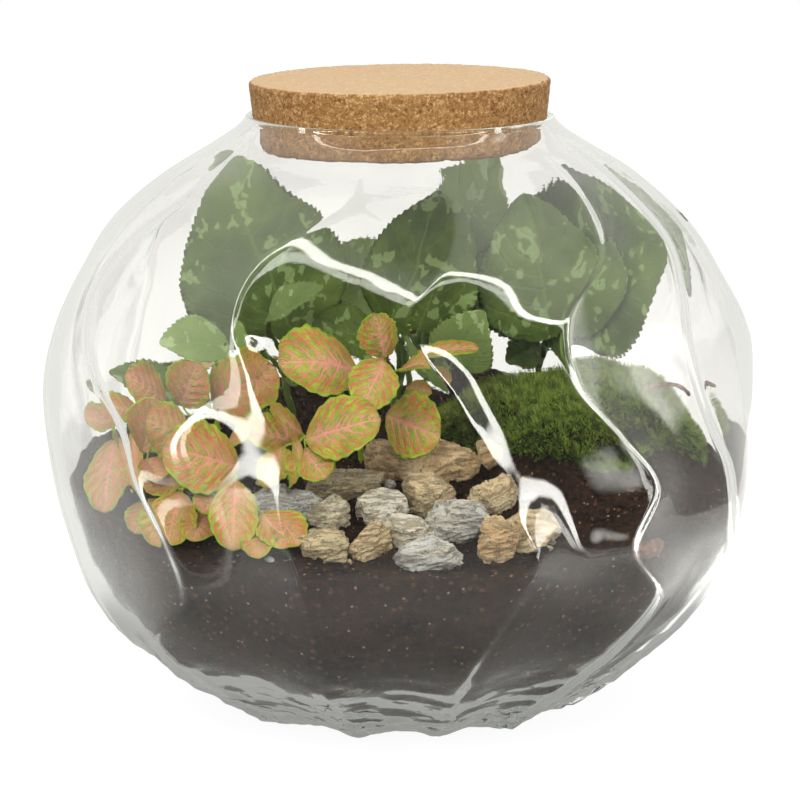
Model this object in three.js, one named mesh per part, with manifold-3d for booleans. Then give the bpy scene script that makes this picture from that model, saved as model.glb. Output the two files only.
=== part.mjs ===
// A planted glass terrarium: a squat blown bowl with wandering folds, a cork stopper, soil, a moss cushion,
// a pile of stone chips, small pink-veined plants and large toothed, blotched leaves.
// Millimetres, +Z up. The origin is the middle of the flat foot. The front of the planting looks along -Y.

import * as THREE from 'three';
import { ConvexGeometry } from 'three/addons/geometries/ConvexGeometry.js';
import { mergeVertices } from 'three/addons/utils/BufferGeometryUtils.js';
import Module from 'manifold-3d';

const wasm = await Module();
wasm.setup();

// Driving dimensions

const CLEARANCE = 0.3;          // gap between pieces that touch
const FOOT_RADIUS = 30;         // flat, polished foot that the bowl stands on
const RIM_HEIGHT = 206;         // top of the glass lip
const LIP_RADIUS = 55;          // outside of the lip
const LIP_WALL = 4.2;           // glass thickness at the lip
const INNER_RELIEF = 0.75;      // how much of each fold shows on the inside of the glass
const CREST_ROUNDING = 0.12;    // softness of a fold's crest, as a share of its half width
const FOLDS = 12;               // folds round the bowl
const COLUMNS_PER_FOLD = 4;     // mesh columns from one crest to the next

const CORK_TOP = 219;
const CORK_BOTTOM = 194;
const CORK_TOP_RADIUS = 51.4;
const CORK_BOTTOM_RADIUS = 48.9;
const CORK_TILT = 0.7;          // degrees: the plug was pushed in a little crooked

const SOIL_LEVEL = 94;          // behind the planting
const SOIL_FALL_FRONT = 22.5;   // how much lower the soil is at the front glass
const SOIL_FALL_LEFT = 9;
const SOIL_RISE_RIGHT = 5;
const SOIL_BLOCK = { size: 236, floor: -10, cells: 11 };

const MOSS = { x: 61, y: -4, halfWidth: 50, halfDepth: 38, height: 20.5, rings: 7, columns: 26 };

const BLADE = 0.7;              // leaf thickness
const ROOT_DEPTH = 11;          // how deep a stem stands in the soil

// The outside of the glass, from the edge of the foot to the lip: radius and height of the crests, depth of the
// folds between them, how far the ring's middle lies to the right, and the thickness of the wall. The crests are
// the angles of six of them, from the front and growing to the right; the other six stand opposite.
const FOOT_CRESTS = [-88, -46, -14, 14, 38, 66];
const NECK_CRESTS = [-88, -60, -12, 12, 50, 70];
const GLASS_STATIONS = [
  { r: 0, z: 0, fold: 0, right: 0, wall: 7, crests: FOOT_CRESTS },
  { r: FOOT_RADIUS, z: 0, fold: 0, right: 0, wall: 7, crests: FOOT_CRESTS },
  { r: 46, z: 1.0, fold: 1.6, right: 0, wall: 6.6, crests: FOOT_CRESTS },
  { r: 62, z: 4.6, fold: 2.7, right: 0, wall: 6, crests: FOOT_CRESTS },
  { r: 77.6, z: 13.5, fold: 3.4, right: -0.8, wall: 5.2, crests: FOOT_CRESTS },
  { r: 92.2, z: 24, fold: 3.8, right: -3, wall: 4.6, crests: [-86, -48, -14, 14, 41, 68] },
  { r: 104.8, z: 38, fold: 4.2, right: -1, wall: 4.1, crests: [-84, -50, -14.5, 14, 44, 71] },
  { r: 115, z: 57, fold: 4.5, right: 1.4, wall: 3.8, crests: [-76, -39, -16, 17, 47, 72] },
  { r: 122.2, z: 77, fold: 4.7, right: 3, wall: 3.6, crests: [-77, -40, -17.5, 19.5, 37, 63] },
  { r: 124.2, z: 97, fold: 4.7, right: 2, wall: 3.6, crests: [-80, -45, -18, 14, 41, 60] },
  { r: 123.6, z: 115, fold: 4.7, right: 0.6, wall: 3.6, crests: [-85, -48, -15.5, 11, 35, 55] },
  { r: 119.6, z: 134, fold: 4.5, right: 0.3, wall: 3.6, crests: [-92, -60, -22, 7, 28, 53] },
  { r: 111.5, z: 153, fold: 4, right: 0, wall: 3.6, crests: [-99, -66, -28, 1, 29, 57] },
  { r: 99, z: 171, fold: 3, right: 0, wall: 3.6, crests: [-95, -64, -18, 8.5, 42, 64] },
  { r: 80.5, z: 187, fold: 1.3, right: 0, wall: 3.7, crests: [-90, -57, -12, 12, 48, 67] },
  { r: 64.5, z: 196.8, fold: 0.3, right: 0, wall: 3.9, crests: NECK_CRESTS },
  { r: 57.2, z: 200.4, fold: 0, right: 0, wall: 4.1, crests: NECK_CRESTS },
  { r: LIP_RADIUS, z: 203.4, fold: 0, right: 0, wall: LIP_WALL, crests: NECK_CRESTS },
];

// The lip's top, outside to inside, as radius from the middle of the wall and height above the last station.
const LIP_TOP = [
  { out: 1.5, up: 1.9 },
  { out: 0, up: 2.6 },
  { out: -1.5, up: 1.9 },
];

// Materials

const glassMaterial = new THREE.MeshStandardMaterial({ color: 0xe8efee, roughness: 0.04, metalness: 0 });
const corkMaterial = new THREE.MeshStandardMaterial({ color: 0xc79b67, roughness: 0.9, metalness: 0 });
const soilMaterial = new THREE.MeshStandardMaterial({ color: 0x2c201a, roughness: 1, metalness: 0 });
const mossMaterial = new THREE.MeshStandardMaterial({ color: 0x49661f, roughness: 1, metalness: 0 });
const stoneMaterial = new THREE.MeshStandardMaterial({ color: 0xa1937a, roughness: 0.9, metalness: 0 });
const barkMaterial = new THREE.MeshStandardMaterial({ color: 0x6b4636, roughness: 0.9, metalness: 0 });
const veinedMaterial = new THREE.MeshStandardMaterial({ color: 0xb6a03c, roughness: 0.6, metalness: 0 });
const broadMaterial = new THREE.MeshStandardMaterial({ color: 0x4f6b3d, roughness: 0.55, metalness: 0 });

// Small helpers

function radians(degrees) {
  return degrees * Math.PI / 180;
}

function vector([x, y, z]) {
  return new THREE.Vector3(x, y, z);
}

function smooth(t) {
  const c = Math.min(Math.max(t, 0), 1);
  return c * c * (3 - 2 * c);
}

// A seeded random source, so that every build gives the same stones.
function randomSource(seed) {
  let state = seed;
  return () => {
    state = (state * 1664525 + 1013904223) % 4294967296;
    return state / 4294967296;
  };
}

// Turns a closed geometry into a solid, without the flat triangles that merging leaves at poles.
function solid(geometry, turned = false) {
  const bare = new THREE.BufferGeometry();
  bare.setAttribute('position', geometry.getAttribute('position').clone());
  if (geometry.index) bare.setIndex(geometry.index.clone());
  const merged = mergeVertices(bare, 1e-4);
  const corners = [];
  for (let i = 0; i < merged.index.count; i += 3) {
    const [a, b, c] = [0, 1, 2].map((k) => merged.index.getX(i + k));
    if (a === b || b === c || c === a) continue;
    if (turned) corners.push(a, c, b);
    else corners.push(a, b, c);
  }
  const mesh = new wasm.Mesh({
    numProp: 3,
    vertProperties: new Float32Array(merged.getAttribute('position').array),
    triVerts: new Uint32Array(corners),
  });
  return new wasm.Manifold(mesh);
}

function joined(solids) {
  return solids.reduce((whole, next) => whole.add(next));
}

function namedMesh(name, body, material) {
  const { vertProperties, triVerts } = body.getMesh();
  const geometry = new THREE.BufferGeometry();
  geometry.setAttribute('position', new THREE.BufferAttribute(new Float32Array(vertProperties), 3));
  geometry.setIndex(new THREE.BufferAttribute(new Uint32Array(triVerts), 1));
  geometry.computeVertexNormals();
  const mesh = new THREE.Mesh(geometry, material);
  mesh.name = name;
  return mesh;
}

// A round rod along a smooth curve through the given points.
function rod(points, radius, sides, steps) {
  const section = new THREE.Shape();
  for (let i = 0; i < sides; i += 1) {
    const angle = 2 * Math.PI * i / sides;
    const [x, y] = [radius * Math.cos(angle), radius * Math.sin(angle)];
    if (i === 0) section.moveTo(x, y);
    else section.lineTo(x, y);
  }
  section.closePath();
  const path = new THREE.CatmullRomCurve3(points);
  return solid(new THREE.ExtrudeGeometry(section, { steps, extrudePath: path, bevelEnabled: false }));
}

// The folded glass

// The angle of a column, in degrees: from crest to crest, and on past six of them to those opposite.
function columnAngle(column, crests) {
  const position = column / COLUMNS_PER_FOLD;
  const crest = Math.floor(position);
  const share = position - crest;
  const half = FOLDS / 2;
  const angle = (index) => crests[index % half] + 180 * Math.floor(index / half);
  return angle(crest) + share * (angle(crest + 1) - angle(crest));
}

// How deep the surface lies below its crests, from 0 on a crest to 1 midway between two.
function foldShape(column) {
  const across = Math.abs(Math.sin(Math.PI * column / COLUMNS_PER_FOLD));
  const softened = Math.hypot(across, CREST_ROUNDING) - CREST_ROUNDING;
  return softened / (Math.hypot(1, CREST_ROUNDING) - CREST_ROUNDING);
}

function outwardNormal(index) {
  const before = GLASS_STATIONS[Math.max(index - 1, 0)];
  const after = GLASS_STATIONS[Math.min(index + 1, GLASS_STATIONS.length - 1)];
  const along = new THREE.Vector2(after.r - before.r, after.z - before.z).normalize();
  if (index === 0) return new THREE.Vector2(0, -1);
  if (index === GLASS_STATIONS.length - 1) return new THREE.Vector2(1, 0);
  return new THREE.Vector2(along.y, -along.x);
}

// One ring of a folded shell: its crest radius and height, and the way and depth in which its folds sink.
function ring(index, depth, relief) {
  const station = GLASS_STATIONS[index];
  const normal = outwardNormal(index);
  return {
    r: Math.max(station.r - normal.x * depth, 0),
    z: station.z - normal.y * depth,
    normal,
    fold: station.fold * relief,
    right: station.right,
    crests: station.crests,
  };
}

function outerRings() {
  return GLASS_STATIONS.map((station, index) => ring(index, 0, 1));
}

function innerRings(extra) {
  return GLASS_STATIONS.map((station, index) => ring(index, station.wall + extra, INNER_RELIEF));
}

// Sweeps the rings round the axis, with every column following its crest. Rings that run inwards, from the top
// down, give a turned surface.
function foldedSolid(rings, turned = false) {
  const columns = FOLDS * COLUMNS_PER_FOLD;
  const profile = rings.map((station) => new THREE.Vector2(station.r, station.z));
  const geometry = new THREE.LatheGeometry(profile, columns);
  const position = geometry.getAttribute('position');
  for (let column = 0; column <= columns; column += 1) {
    const around = column % columns;
    rings.forEach((station, index) => {
      const sunk = station.fold * foldShape(around);
      const r = Math.max(station.r - station.normal.x * sunk, 0);
      const angle = radians(columnAngle(around, station.crests));
      const z = station.z - station.normal.y * sunk;
      const x = station.right + r * Math.sin(angle);
      position.setXYZ(column * rings.length + index, x, -r * Math.cos(angle), z);
    });
  }
  return solid(geometry, turned);
}

function glassBowl() {
  const last = GLASS_STATIONS[GLASS_STATIONS.length - 1];
  const middle = LIP_RADIUS - LIP_WALL / 2;
  const lip = LIP_TOP.map(({ out, up }) => ({
    r: middle + out,
    z: last.z + up,
    normal: new THREE.Vector2(0, 1),
    fold: 0,
    right: last.right,
    crests: last.crests,
  }));
  return foldedSolid([...outerRings(), ...lip, ...innerRings(0).reverse()]);
}

// The space inside the glass, a little smaller, up to the given height.
function cavity(extra, top) {
  const rings = innerRings(extra).filter((station) => station.z < top);
  const last = rings[rings.length - 1];
  const lid = { ...last, r: 0, fold: 0 };
  return foldedSolid([lid, ...rings.reverse()], true);
}

// The stopper

function corkStopper() {
  const edge = 1.2;
  const profile = [
    [0, CORK_BOTTOM],
    [CORK_BOTTOM_RADIUS - edge, CORK_BOTTOM],
    [CORK_BOTTOM_RADIUS, CORK_BOTTOM + edge],
    [CORK_TOP_RADIUS, CORK_TOP - edge],
    [CORK_TOP_RADIUS - edge, CORK_TOP],
    [0, CORK_TOP],
  ].map(([r, z]) => new THREE.Vector2(r, z - RIM_HEIGHT));
  const geometry = new THREE.LatheGeometry(profile, 32);
  geometry.rotateX(Math.PI / 2);
  geometry.rotateY(radians(-CORK_TILT));
  geometry.translate(0, 0, RIM_HEIGHT);
  return solid(geometry);
}

// The soil

function soilHeight(x, y) {
  const front = SOIL_FALL_FRONT * smooth((-y - 20) / 92);
  const left = SOIL_FALL_LEFT * smooth((-x - 35) / 70);
  const right = SOIL_RISE_RIGHT * smooth((x - 30) / 80);
  const lumps = 0.9 * Math.sin(x / 9 + 1.3) * Math.sin(y / 11 - 0.4) + 0.5 * Math.sin((x + y) / 5.5);
  return SOIL_LEVEL - front - left + right + lumps;
}

// A block whose top is the soil's surface, raised by the given amount.
function groundBlock(raise) {
  const { size, floor, cells } = SOIL_BLOCK;
  const geometry = new THREE.BoxGeometry(size, size, 2, cells, cells, 1);
  const position = geometry.getAttribute('position');
  for (let i = 0; i < position.count; i += 1) {
    const top = position.getZ(i) > 0;
    const height = soilHeight(position.getX(i), position.getY(i)) + raise;
    position.setZ(i, top ? height : floor);
  }
  return solid(geometry);
}

// The moss cushion

function mossHeight(x, y) {
  const across = Math.hypot((x - MOSS.x) / MOSS.halfWidth, (y - MOSS.y) / MOSS.halfDepth);
  const dome = Math.sqrt(Math.max(1 - across ** 2.4, 0));
  const tufts = 0.9 * Math.sin(x / 3.1) * Math.sin(y / 2.7 + 0.8) + 0.8 * Math.sin((x - y) / 6.2);
  return soilHeight(x, y) + MOSS.height * dome + tufts * smooth(dome * 2);
}

function mossMound() {
  const { rings, columns } = MOSS;
  const profile = [new THREE.Vector2(0, 1)];
  for (let i = 1; i <= rings; i += 1) profile.push(new THREE.Vector2(i / rings, 1));
  profile.push(new THREE.Vector2(1, 0), new THREE.Vector2(0, 0));
  const geometry = new THREE.LatheGeometry(profile.reverse(), columns);
  const position = geometry.getAttribute('position');
  for (let i = 0; i < position.count; i += 1) {
    const angle = Math.atan2(position.getX(i), position.getZ(i));
    const edge = 1 + 0.06 * Math.sin(3 * angle + 0.6) + 0.04 * Math.sin(7 * angle);
    const x = MOSS.x + MOSS.halfWidth * edge * position.getX(i);
    const y = MOSS.y - MOSS.halfDepth * edge * position.getZ(i);
    const top = position.getY(i) > 0;
    position.setXYZ(i, x, y, top ? mossHeight(x, y) : SOIL_LEVEL - SOIL_FALL_FRONT);
  }
  return solid(geometry);
}

// Leaves

// Outlines: half width along the blade, from 0 at the stalk to 1 at the tip.
const OUTLINES = {
  oval: (v) => Math.sin(Math.PI * v ** 0.82) ** 0.62,
  broad: (v) => Math.sin(Math.PI * v ** 0.72) ** 0.75,
};

// A closed blade. It runs from base to tip, looks towards face, is creased along its rib and bows along its length.
function blade({ base, tip, face, width, outline, rows, columns, crease, bow, tooth, wave }) {
  const start = vector(base);
  const axis = vector(tip).sub(start);
  const length = axis.length();
  const along = axis.clone().normalize();
  const side = along.clone().cross(vector(face)).normalize();
  const up = side.clone().cross(along).normalize();
  const geometry = new THREE.BufferGeometry();
  const positions = [];
  for (let j = 0; j <= rows; j += 1) {
    const v = j / rows;
    const cut = j % 2 === 1 && j < rows ? 1 : 1 - tooth;
    const half = Math.max(width / 2 * OUTLINES[outline](v) * cut, 0.7);
    for (let i = 0; i <= columns; i += 1) {
      const u = 2 * i / columns - 1;
      const lift = Math.abs(u) * half * crease + bow * length * 4 * v * (1 - v)
        + wave * half * u * u * Math.sin(3 * Math.PI * v + u);
      const point = start.clone().addScaledVector(axis, v).addScaledVector(side, u * half);
      for (const face_side of [0.5, -0.5]) {
        const spot = point.clone().addScaledVector(up, lift + face_side * BLADE);
        positions.push(spot.x, spot.y, spot.z);
      }
    }
  }
  geometry.setAttribute('position', new THREE.Float32BufferAttribute(positions, 3));
  geometry.setIndex(bladeFaces(rows, columns));
  return solid(geometry);
}

// Upper and lower faces are split along the same diagonal, and the edge joins them all round.
function bladeFaces(rows, columns) {
  const faces = [];
  const corner = (j, i, lower) => 2 * (j * (columns + 1) + i) + lower;
  for (let j = 0; j < rows; j += 1) {
    for (let i = 0; i < columns; i += 1) {
      for (const lower of [0, 1]) {
        const [a, b] = [corner(j, i, lower), corner(j, i + 1, lower)];
        const [c, d] = [corner(j + 1, i + 1, lower), corner(j + 1, i, lower)];
        if (lower) faces.push(a, c, b, a, d, c);
        else faces.push(a, b, c, a, c, d);
      }
    }
  }
  const rim = [];
  for (let i = 0; i < columns; i += 1) rim.push([0, i]);
  for (let j = 0; j < rows; j += 1) rim.push([j, columns]);
  for (let i = columns; i > 0; i -= 1) rim.push([rows, i]);
  for (let j = rows; j > 0; j -= 1) rim.push([j, 0]);
  rim.forEach(([j, i], k) => {
    const [nextJ, nextI] = rim[(k + 1) % rim.length];
    const [top, low] = [corner(j, i, 0), corner(j, i, 1)];
    const [nextTop, nextLow] = [corner(nextJ, nextI, 0), corner(nextJ, nextI, 1)];
    faces.push(top, nextLow, nextTop, top, low, nextLow);
  });
  return faces;
}

// Stems

// The straight foot of a stem, from below the soil to just above it.
function stemFoot([x, y], extra) {
  const ground = soilHeight(x, y);
  return [new THREE.Vector3(x, y, ground - ROOT_DEPTH - extra), new THREE.Vector3(x, y, ground + 4 + extra)];
}

function stemCurve({ root, through }) {
  return new THREE.CatmullRomCurve3([...stemFoot(root, 0), ...through.map(vector)]);
}

function stemHole({ root, radius }) {
  return rod(stemFoot(root, CLEARANCE), radius + 3 * CLEARANCE, 7, 1);
}

// A stem with its leaves. Each leaf's stalk leaves the stem at a share of its length and runs into the blade.
function leafyStem(stem, style) {
  const curve = stemCurve(stem);
  const parts = [rod(curve.points, stem.radius, 5, stem.steps)];
  for (const leaf of stem.leaves) {
    const base = vector(leaf.base);
    const inward = vector(leaf.tip).sub(base).normalize();
    const joint = curve.getPointAt(leaf.at);
    const bend = joint.clone().lerp(base, 0.6).addScaledVector(inward, -style.stalkBend);
    const end = base.clone().addScaledVector(inward, 1.6);
    parts.push(rod([joint, bend, end], style.stalkRadius, 4, style.stalkSteps));
    parts.push(blade({ ...style, ...leaf }));
  }
  return joined(parts);
}

const VEINED_STYLE = {
  outline: 'oval', rows: 5, columns: 2, crease: 0.14, bow: 0.05, tooth: 0, wave: 0.05,
  stalkRadius: 0.8, stalkBend: 1.5, stalkSteps: 2, face: [0, -0.8, 0.6],
};

const BROAD_STYLE = {
  outline: 'broad', rows: 8, columns: 2, crease: 0.12, bow: 0.05, tooth: 0.12, wave: 0.04,
  stalkRadius: 1.1, stalkBend: 3, stalkSteps: 3, face: [0, -0.9, 0.4],
};

// The small plants with pink-veined leaves, one entry for each leafy stem.
const VEINED_STEMS = [
  {
    name: 'veined_plant_far_left', root: [-78, -30], radius: 1.2, steps: 3,
    through: [[-81, -34, 98], [-84, -38, 106]],
    leaves: [
      { at: 0.98, base: [-91, -37, 102], tip: [-97, -53, 80.5], width: 16, face: [-0.4, -0.9, 0.2] },
      { at: 0.98, base: [-87, -46, 99], tip: [-80, -52, 118], width: 15, face: [0.1, -0.9, 0.2] },
      { at: 0.8, base: [-85, -52, 98], tip: [-79, -66, 94], width: 11, face: [0, -0.5, 0.8] },
      { at: 0.98, base: [-79, -26, 113], tip: [-93, -36, 122], width: 16, face: [-0.2, -0.8, 0.6] },
    ],
  },
  {
    name: 'veined_plant_left', root: [-64, -36], radius: 1.2, steps: 3,
    through: [[-65, -40, 100], [-66, -40, 110]],
    leaves: [
      { at: 0.98, base: [-73, -38, 114], tip: [-65, -46, 130], width: 15, face: [0, -0.9, 0.3] },
      { at: 0.98, base: [-60, -36, 112], tip: [-44, -42, 127], width: 20, face: [0.1, -0.8, 0.4] },
      { at: 0.9, base: [-53, -66, 98], tip: [-76, -78, 108], width: 17, face: [0, -0.9, 0.4] },
    ],
  },
  {
    name: 'veined_plant_front_left', root: [-66, -62], radius: 1.1, steps: 2,
    through: [[-67, -64, 92]],
    leaves: [
      { at: 0.98, base: [-72, -70, 91], tip: [-76, -80, 75], width: 16, face: [-0.2, -0.9, 0.4] },
      { at: 0.98, base: [-72, -60, 92], tip: [-86, -65, 91], width: 9, face: [0, -0.7, 0.7] },
      { at: 0.9, base: [-79, -64, 87], tip: [-85, -70, 77.5], width: 11, face: [-0.4, -0.7, 0.6] },
      { at: 0.9, base: [-63, -72, 84], tip: [-67, -85, 78], width: 12, face: [0, -0.5, 0.9] },
    ],
  },
  {
    name: 'veined_plant_front', root: [-53, -60], radius: 1.2, steps: 2,
    through: [[-52, -66, 94]],
    leaves: [
      { at: 0.98, base: [-52, -80, 97], tip: [-53, -93, 77], width: 15, face: [0, -0.9, 0.4] },
      { at: 0.8, base: [-43, -84, 87], tip: [-33, -96, 79], width: 13, face: [0.1, -0.7, 0.7] },
      { at: 0.8, base: [-44, -86, 84], tip: [-44, -99, 76], width: 11, face: [-0.2, -0.7, 0.7] },
    ],
  },
  {
    name: 'veined_plant_middle', root: [-14, -32], radius: 1.3, steps: 4,
    through: [[-12, -34, 104], [-8, -40, 116], [-6, -46, 128]],
    leaves: [
      { at: 0.96, base: [-13, -48, 128], tip: [-41, -64, 132], width: 23, face: [0, -0.8, 0.6] },
      { at: 0.98, base: [-4, -56, 133], tip: [-12, -74, 119], width: 15, face: [0.1, -0.8, 0.6] },
      { at: 0.98, base: [-3, -52, 133], tip: [-8, -56, 148], width: 14, face: [0, -1, 0.1] },
      { at: 0.96, base: [1, -50, 129], tip: [25, -60, 136], width: 9, face: [0, -0.5, 0.9] },
    ],
  },
  {
    name: 'veined_plant_centre', root: [-24, -46], radius: 1.2, steps: 3,
    through: [[-26, -52, 100], [-30, -62, 106]],
    leaves: [
      { at: 0.98, base: [-32, -70, 107], tip: [-6, -80, 117], width: 19, face: [0, -0.8, 0.6] },
      { at: 0.98, base: [-33, -72, 105], tip: [-25, -82, 98], width: 12, face: [0, -0.7, 0.6] },
      { at: 0.9, base: [-36, -64, 105], tip: [-42, -74, 93], width: 10, face: [-0.2, -0.9, 0.3] },
      { at: 0.85, base: [-34, -50, 104], tip: [-50, -56, 110], width: 13, face: [0, -0.7, 0.7] },
    ],
  },
  {
    name: 'veined_plant_right', root: [-1, -30], radius: 1.1, steps: 2,
    through: [[0, -34, 103]],
    leaves: [
      { at: 0.98, base: [-4, -46, 112], tip: [15, -57, 107], width: 20, face: [0, -0.9, 0.3] },
      { at: 0.9, base: [4, -38, 120], tip: [13, -44, 120], width: 7, face: [0, -0.7, 0.7] },
    ],
  },
  {
    name: 'veined_plant_back_left', root: [-62, 34], radius: 1.2, steps: 3,
    through: [[-66, 38, 102], [-69, 41, 108]],
    leaves: [
      { at: 0.98, base: [-74, 38, 110], tip: [-92, 32, 110], width: 18, face: [-0.5, 0.3, 0.8] },
      { at: 0.98, base: [-68, 48, 111], tip: [-62, 66, 112], width: 18, face: [0, 0.6, 0.8] },
      { at: 0.9, base: [-76, 48, 106], tip: [-84, 58, 97], width: 16, face: [-0.6, 0.6, 0.5] },
      { at: 0.98, base: [-64, 38, 112], tip: [-48, 32, 116], width: 16, face: [0, 0.2, 1] },
    ],
  },
  {
    name: 'veined_plant_back', root: [-18, 66], radius: 1.2, steps: 3,
    through: [[-18, 70, 104], [-16, 74, 112]],
    leaves: [
      { at: 0.98, base: [-20, 78, 114], tip: [-36, 88, 118], width: 18, face: [-0.2, 0.6, 0.8] },
      { at: 0.98, base: [-12, 78, 113], tip: [4, 92, 112], width: 18, face: [0.2, 0.6, 0.8] },
      { at: 0.9, base: [-18, 82, 106], tip: [-20, 98, 96], width: 15, face: [0, 0.8, 0.5] },
    ],
  },
];

// The large-leaved plants.
const BROAD_STEMS = [
  {
    name: 'broad_plant_left', root: [-42, 8], radius: 1.9, steps: 4,
    through: [[-43, 6, 108], [-42, 8, 120], [-41, 12, 126]],
    leaves: [
      {
        at: 0.98, base: [-41, 14, 132], tip: [-58, 9, 190], width: 56, face: [-0.15, -0.95, 0.3],
        columns: 4, rows: 12, crease: 0.1,
      },
      { at: 0.7, base: [-46, -12, 139], tip: [-26, -26, 154], width: 17, face: [0, -0.7, 0.7] },
      { at: 0.6, base: [-56, -10, 130], tip: [-80, -26, 133], width: 22, face: [-0.1, -0.7, 0.7] },
      { at: 0.5, base: [-74, -6, 111], tip: [-101, -14, 119], width: 18, face: [-0.2, -0.7, 0.7] },
      { at: 0.6, base: [-34, -14, 117], tip: [-32, -20, 138], width: 18, face: [0, -0.9, 0.3] },
    ],
  },
  {
    name: 'broad_plant_centre', root: [0, 22], radius: 1.9, steps: 5,
    through: [[2, 22, 108], [4, 20, 120], [8, 22, 140], [14, 26, 156]],
    leaves: [
      {
        at: 0.45, base: [3, 8, 130], tip: [15, 2, 182], width: 38, face: [-0.2, -0.95, 0.2],
        columns: 4, rows: 12,
      },
      { at: 0.98, base: [18, 26, 160], tip: [34, 20, 189], width: 25, face: [0.2, -0.9, 0.3] },
      { at: 0.5, base: [0, 32, 138], tip: [-26, 36, 158], width: 28, face: [0, -0.9, 0.4] },
      { at: 0.4, base: [-6, 4, 128], tip: [-30, -6, 135], width: 20, face: [0, -0.7, 0.7] },
      { at: 0.3, base: [14, -2, 118], tip: [24, -12, 138], width: 20, face: [0, -0.95, 0.2] },
    ],
  },
  {
    name: 'broad_plant_right', root: [52, 46], radius: 2.1, steps: 4,
    through: [[53, 46, 108], [56, 42, 120], [60, 36, 126]],
    leaves: [
      {
        at: 0.98, base: [58, 16, 128], tip: [44, 2, 182], width: 44, face: [-0.15, -0.95, 0.25],
        columns: 4, rows: 12,
      },
      {
        at: 0.98, base: [64, 24, 124], tip: [77, 17, 180], width: 42, face: [0.25, -0.9, 0.3],
        columns: 4, rows: 12,
      },
      { at: 0.9, base: [52, 30, 130], tip: [16, 18, 144], width: 22, face: [0, -0.8, 0.5] },
      { at: 0.98, base: [76, 35, 136], tip: [93, 31, 154], width: 18, face: [0.3, -0.8, 0.4] },
      { at: 0.7, base: [64, 52, 124], tip: [78, 60, 146], width: 32, face: [0.4, 0.8, 0.4] },
      { at: 0.6, base: [54, 37, 122], tip: [38, 33, 115], width: 15, face: [0, -0.7, 0.7] },
    ],
  },
  {
    name: 'broad_plant_back', root: [8, 48], radius: 1.9, steps: 4,
    through: [[8, 50, 106], [6, 53, 118], [5, 55, 126]],
    leaves: [
      {
        at: 0.98, base: [10, 60, 128], tip: [24, 68, 160], width: 34, face: [0.2, 0.9, 0.3],
        columns: 4, rows: 8,
      },
      { at: 0.98, base: [-2, 58, 128], tip: [-24, 64, 150], width: 30, face: [-0.2, 0.9, 0.4] },
      { at: 0.7, base: [14, 64, 122], tip: [34, 78, 132], width: 26, face: [0.2, 0.7, 0.7] },
      { at: 0.7, base: [-8, 62, 122], tip: [-40, 74, 132], width: 24, face: [-0.2, 0.7, 0.7] },
    ],
  },
];

// Stone chips: middle of each on the plan, and its length, depth and height, turned by an angle in degrees.
const STONES = [
  { x: -39, y: -71, size: [21, 11, 12], turn: 10 },
  { x: -24, y: -76, size: [10, 9, 10], turn: 40 },
  { x: -19, y: -55, size: [24, 10, 9], turn: 12 },
  { x: -24, y: -93, size: [13, 9, 9], turn: -20 },
  { x: -13, y: -90, size: [13, 10, 13], turn: 35 },
  { x: -6, y: -69, size: [17, 9, 9], turn: 15 },
  { x: -5, y: -46, size: [12, 9, 12], turn: -30 },
  { x: 2, y: -84, size: [15, 10, 11], turn: -25 },
  { x: 14, y: -44, size: [30, 12, 13], turn: 14 },
  { x: 11, y: -63, size: [16, 10, 11], turn: 25 },
  { x: 20, y: -80, size: [17, 12, 13], turn: -15 },
  { x: 10, y: -99, size: [17, 9, 9], turn: 5 },
  { x: 30, y: -62, size: [13, 9, 9], turn: 60 },
  { x: 32, y: -93, size: [9, 7, 15], turn: 20 },
  { x: 42, y: -84, size: [14, 9, 10], turn: -10 },
];
const STONE_CORNERS = 15;
const STONE_SEED = 71;
const STONE_SINK = 0.28;        // share of a stone's height that lies below the soil

// A chip with flat, broken faces: the hull of seeded points on a rounded box.
function stoneHull({ x, y, size, turn }, order, grow) {
  const random = randomSource(STONE_SEED + 97 * order);
  const corners = [];
  for (let i = 0; i < STONE_CORNERS; i += 1) {
    const level = 1 - 2 * (i + 0.5) / STONE_CORNERS;
    const angle = 2.4 * i + 0.7 * random();
    const reach = Math.sqrt(1 - level * level);
    const point = new THREE.Vector3(reach * Math.cos(angle), reach * Math.sin(angle), level);
    const box = Math.max(Math.abs(point.x), Math.abs(point.y), Math.abs(point.z));
    point.multiplyScalar(1 / box ** 0.55 * (0.86 + 0.16 * random()));
    point.multiply(vector(size)).multiplyScalar(0.5);
    point.addScaledVector(point.clone().normalize(), grow);
    corners.push(point);
  }
  const geometry = new ConvexGeometry(corners);
  geometry.rotateZ(radians(turn));
  geometry.translate(x, y, soilHeight(x, y) + size[2] * (0.5 - STONE_SINK));
  return solid(geometry);
}

// The stones in order; where two meet, the later one is hollowed to bed against the earlier.
function stoneChips() {
  const chips = [];
  STONES.forEach((stone, order) => {
    let chip = stoneHull(stone, order, 0);
    for (let before = 0; before < order; before += 1) {
      const neighbour = STONES[before];
      const near = Math.hypot(stone.x - neighbour.x, stone.y - neighbour.y);
      if (near < 0.6 * (stone.size[0] + neighbour.size[0])) {
        chip = chip.subtract(stoneHull(neighbour, before, CLEARANCE * 1.5));
      }
    }
    chips.push(chip);
  });
  return chips;
}

// Twig and bark

const TWIG = { from: [84, -22], to: [103, -11], radius: 0.8, lift: 2, sag: 0.25 };
const BARK = { place: [79.2, -82.3, 75], size: [14, 6, 7], turn: 44 };

function twig() {
  const points = [0, 0.35, 0.7, 1].map((t) => {
    const x = THREE.MathUtils.lerp(TWIG.from[0], TWIG.to[0], t);
    const y = THREE.MathUtils.lerp(TWIG.from[1], TWIG.to[1], t);
    return new THREE.Vector3(x, y, mossHeight(x, y) + TWIG.lift - TWIG.sag * Math.sin(Math.PI * t));
  });
  return rod(points, TWIG.radius, 5, 5);
}

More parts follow.
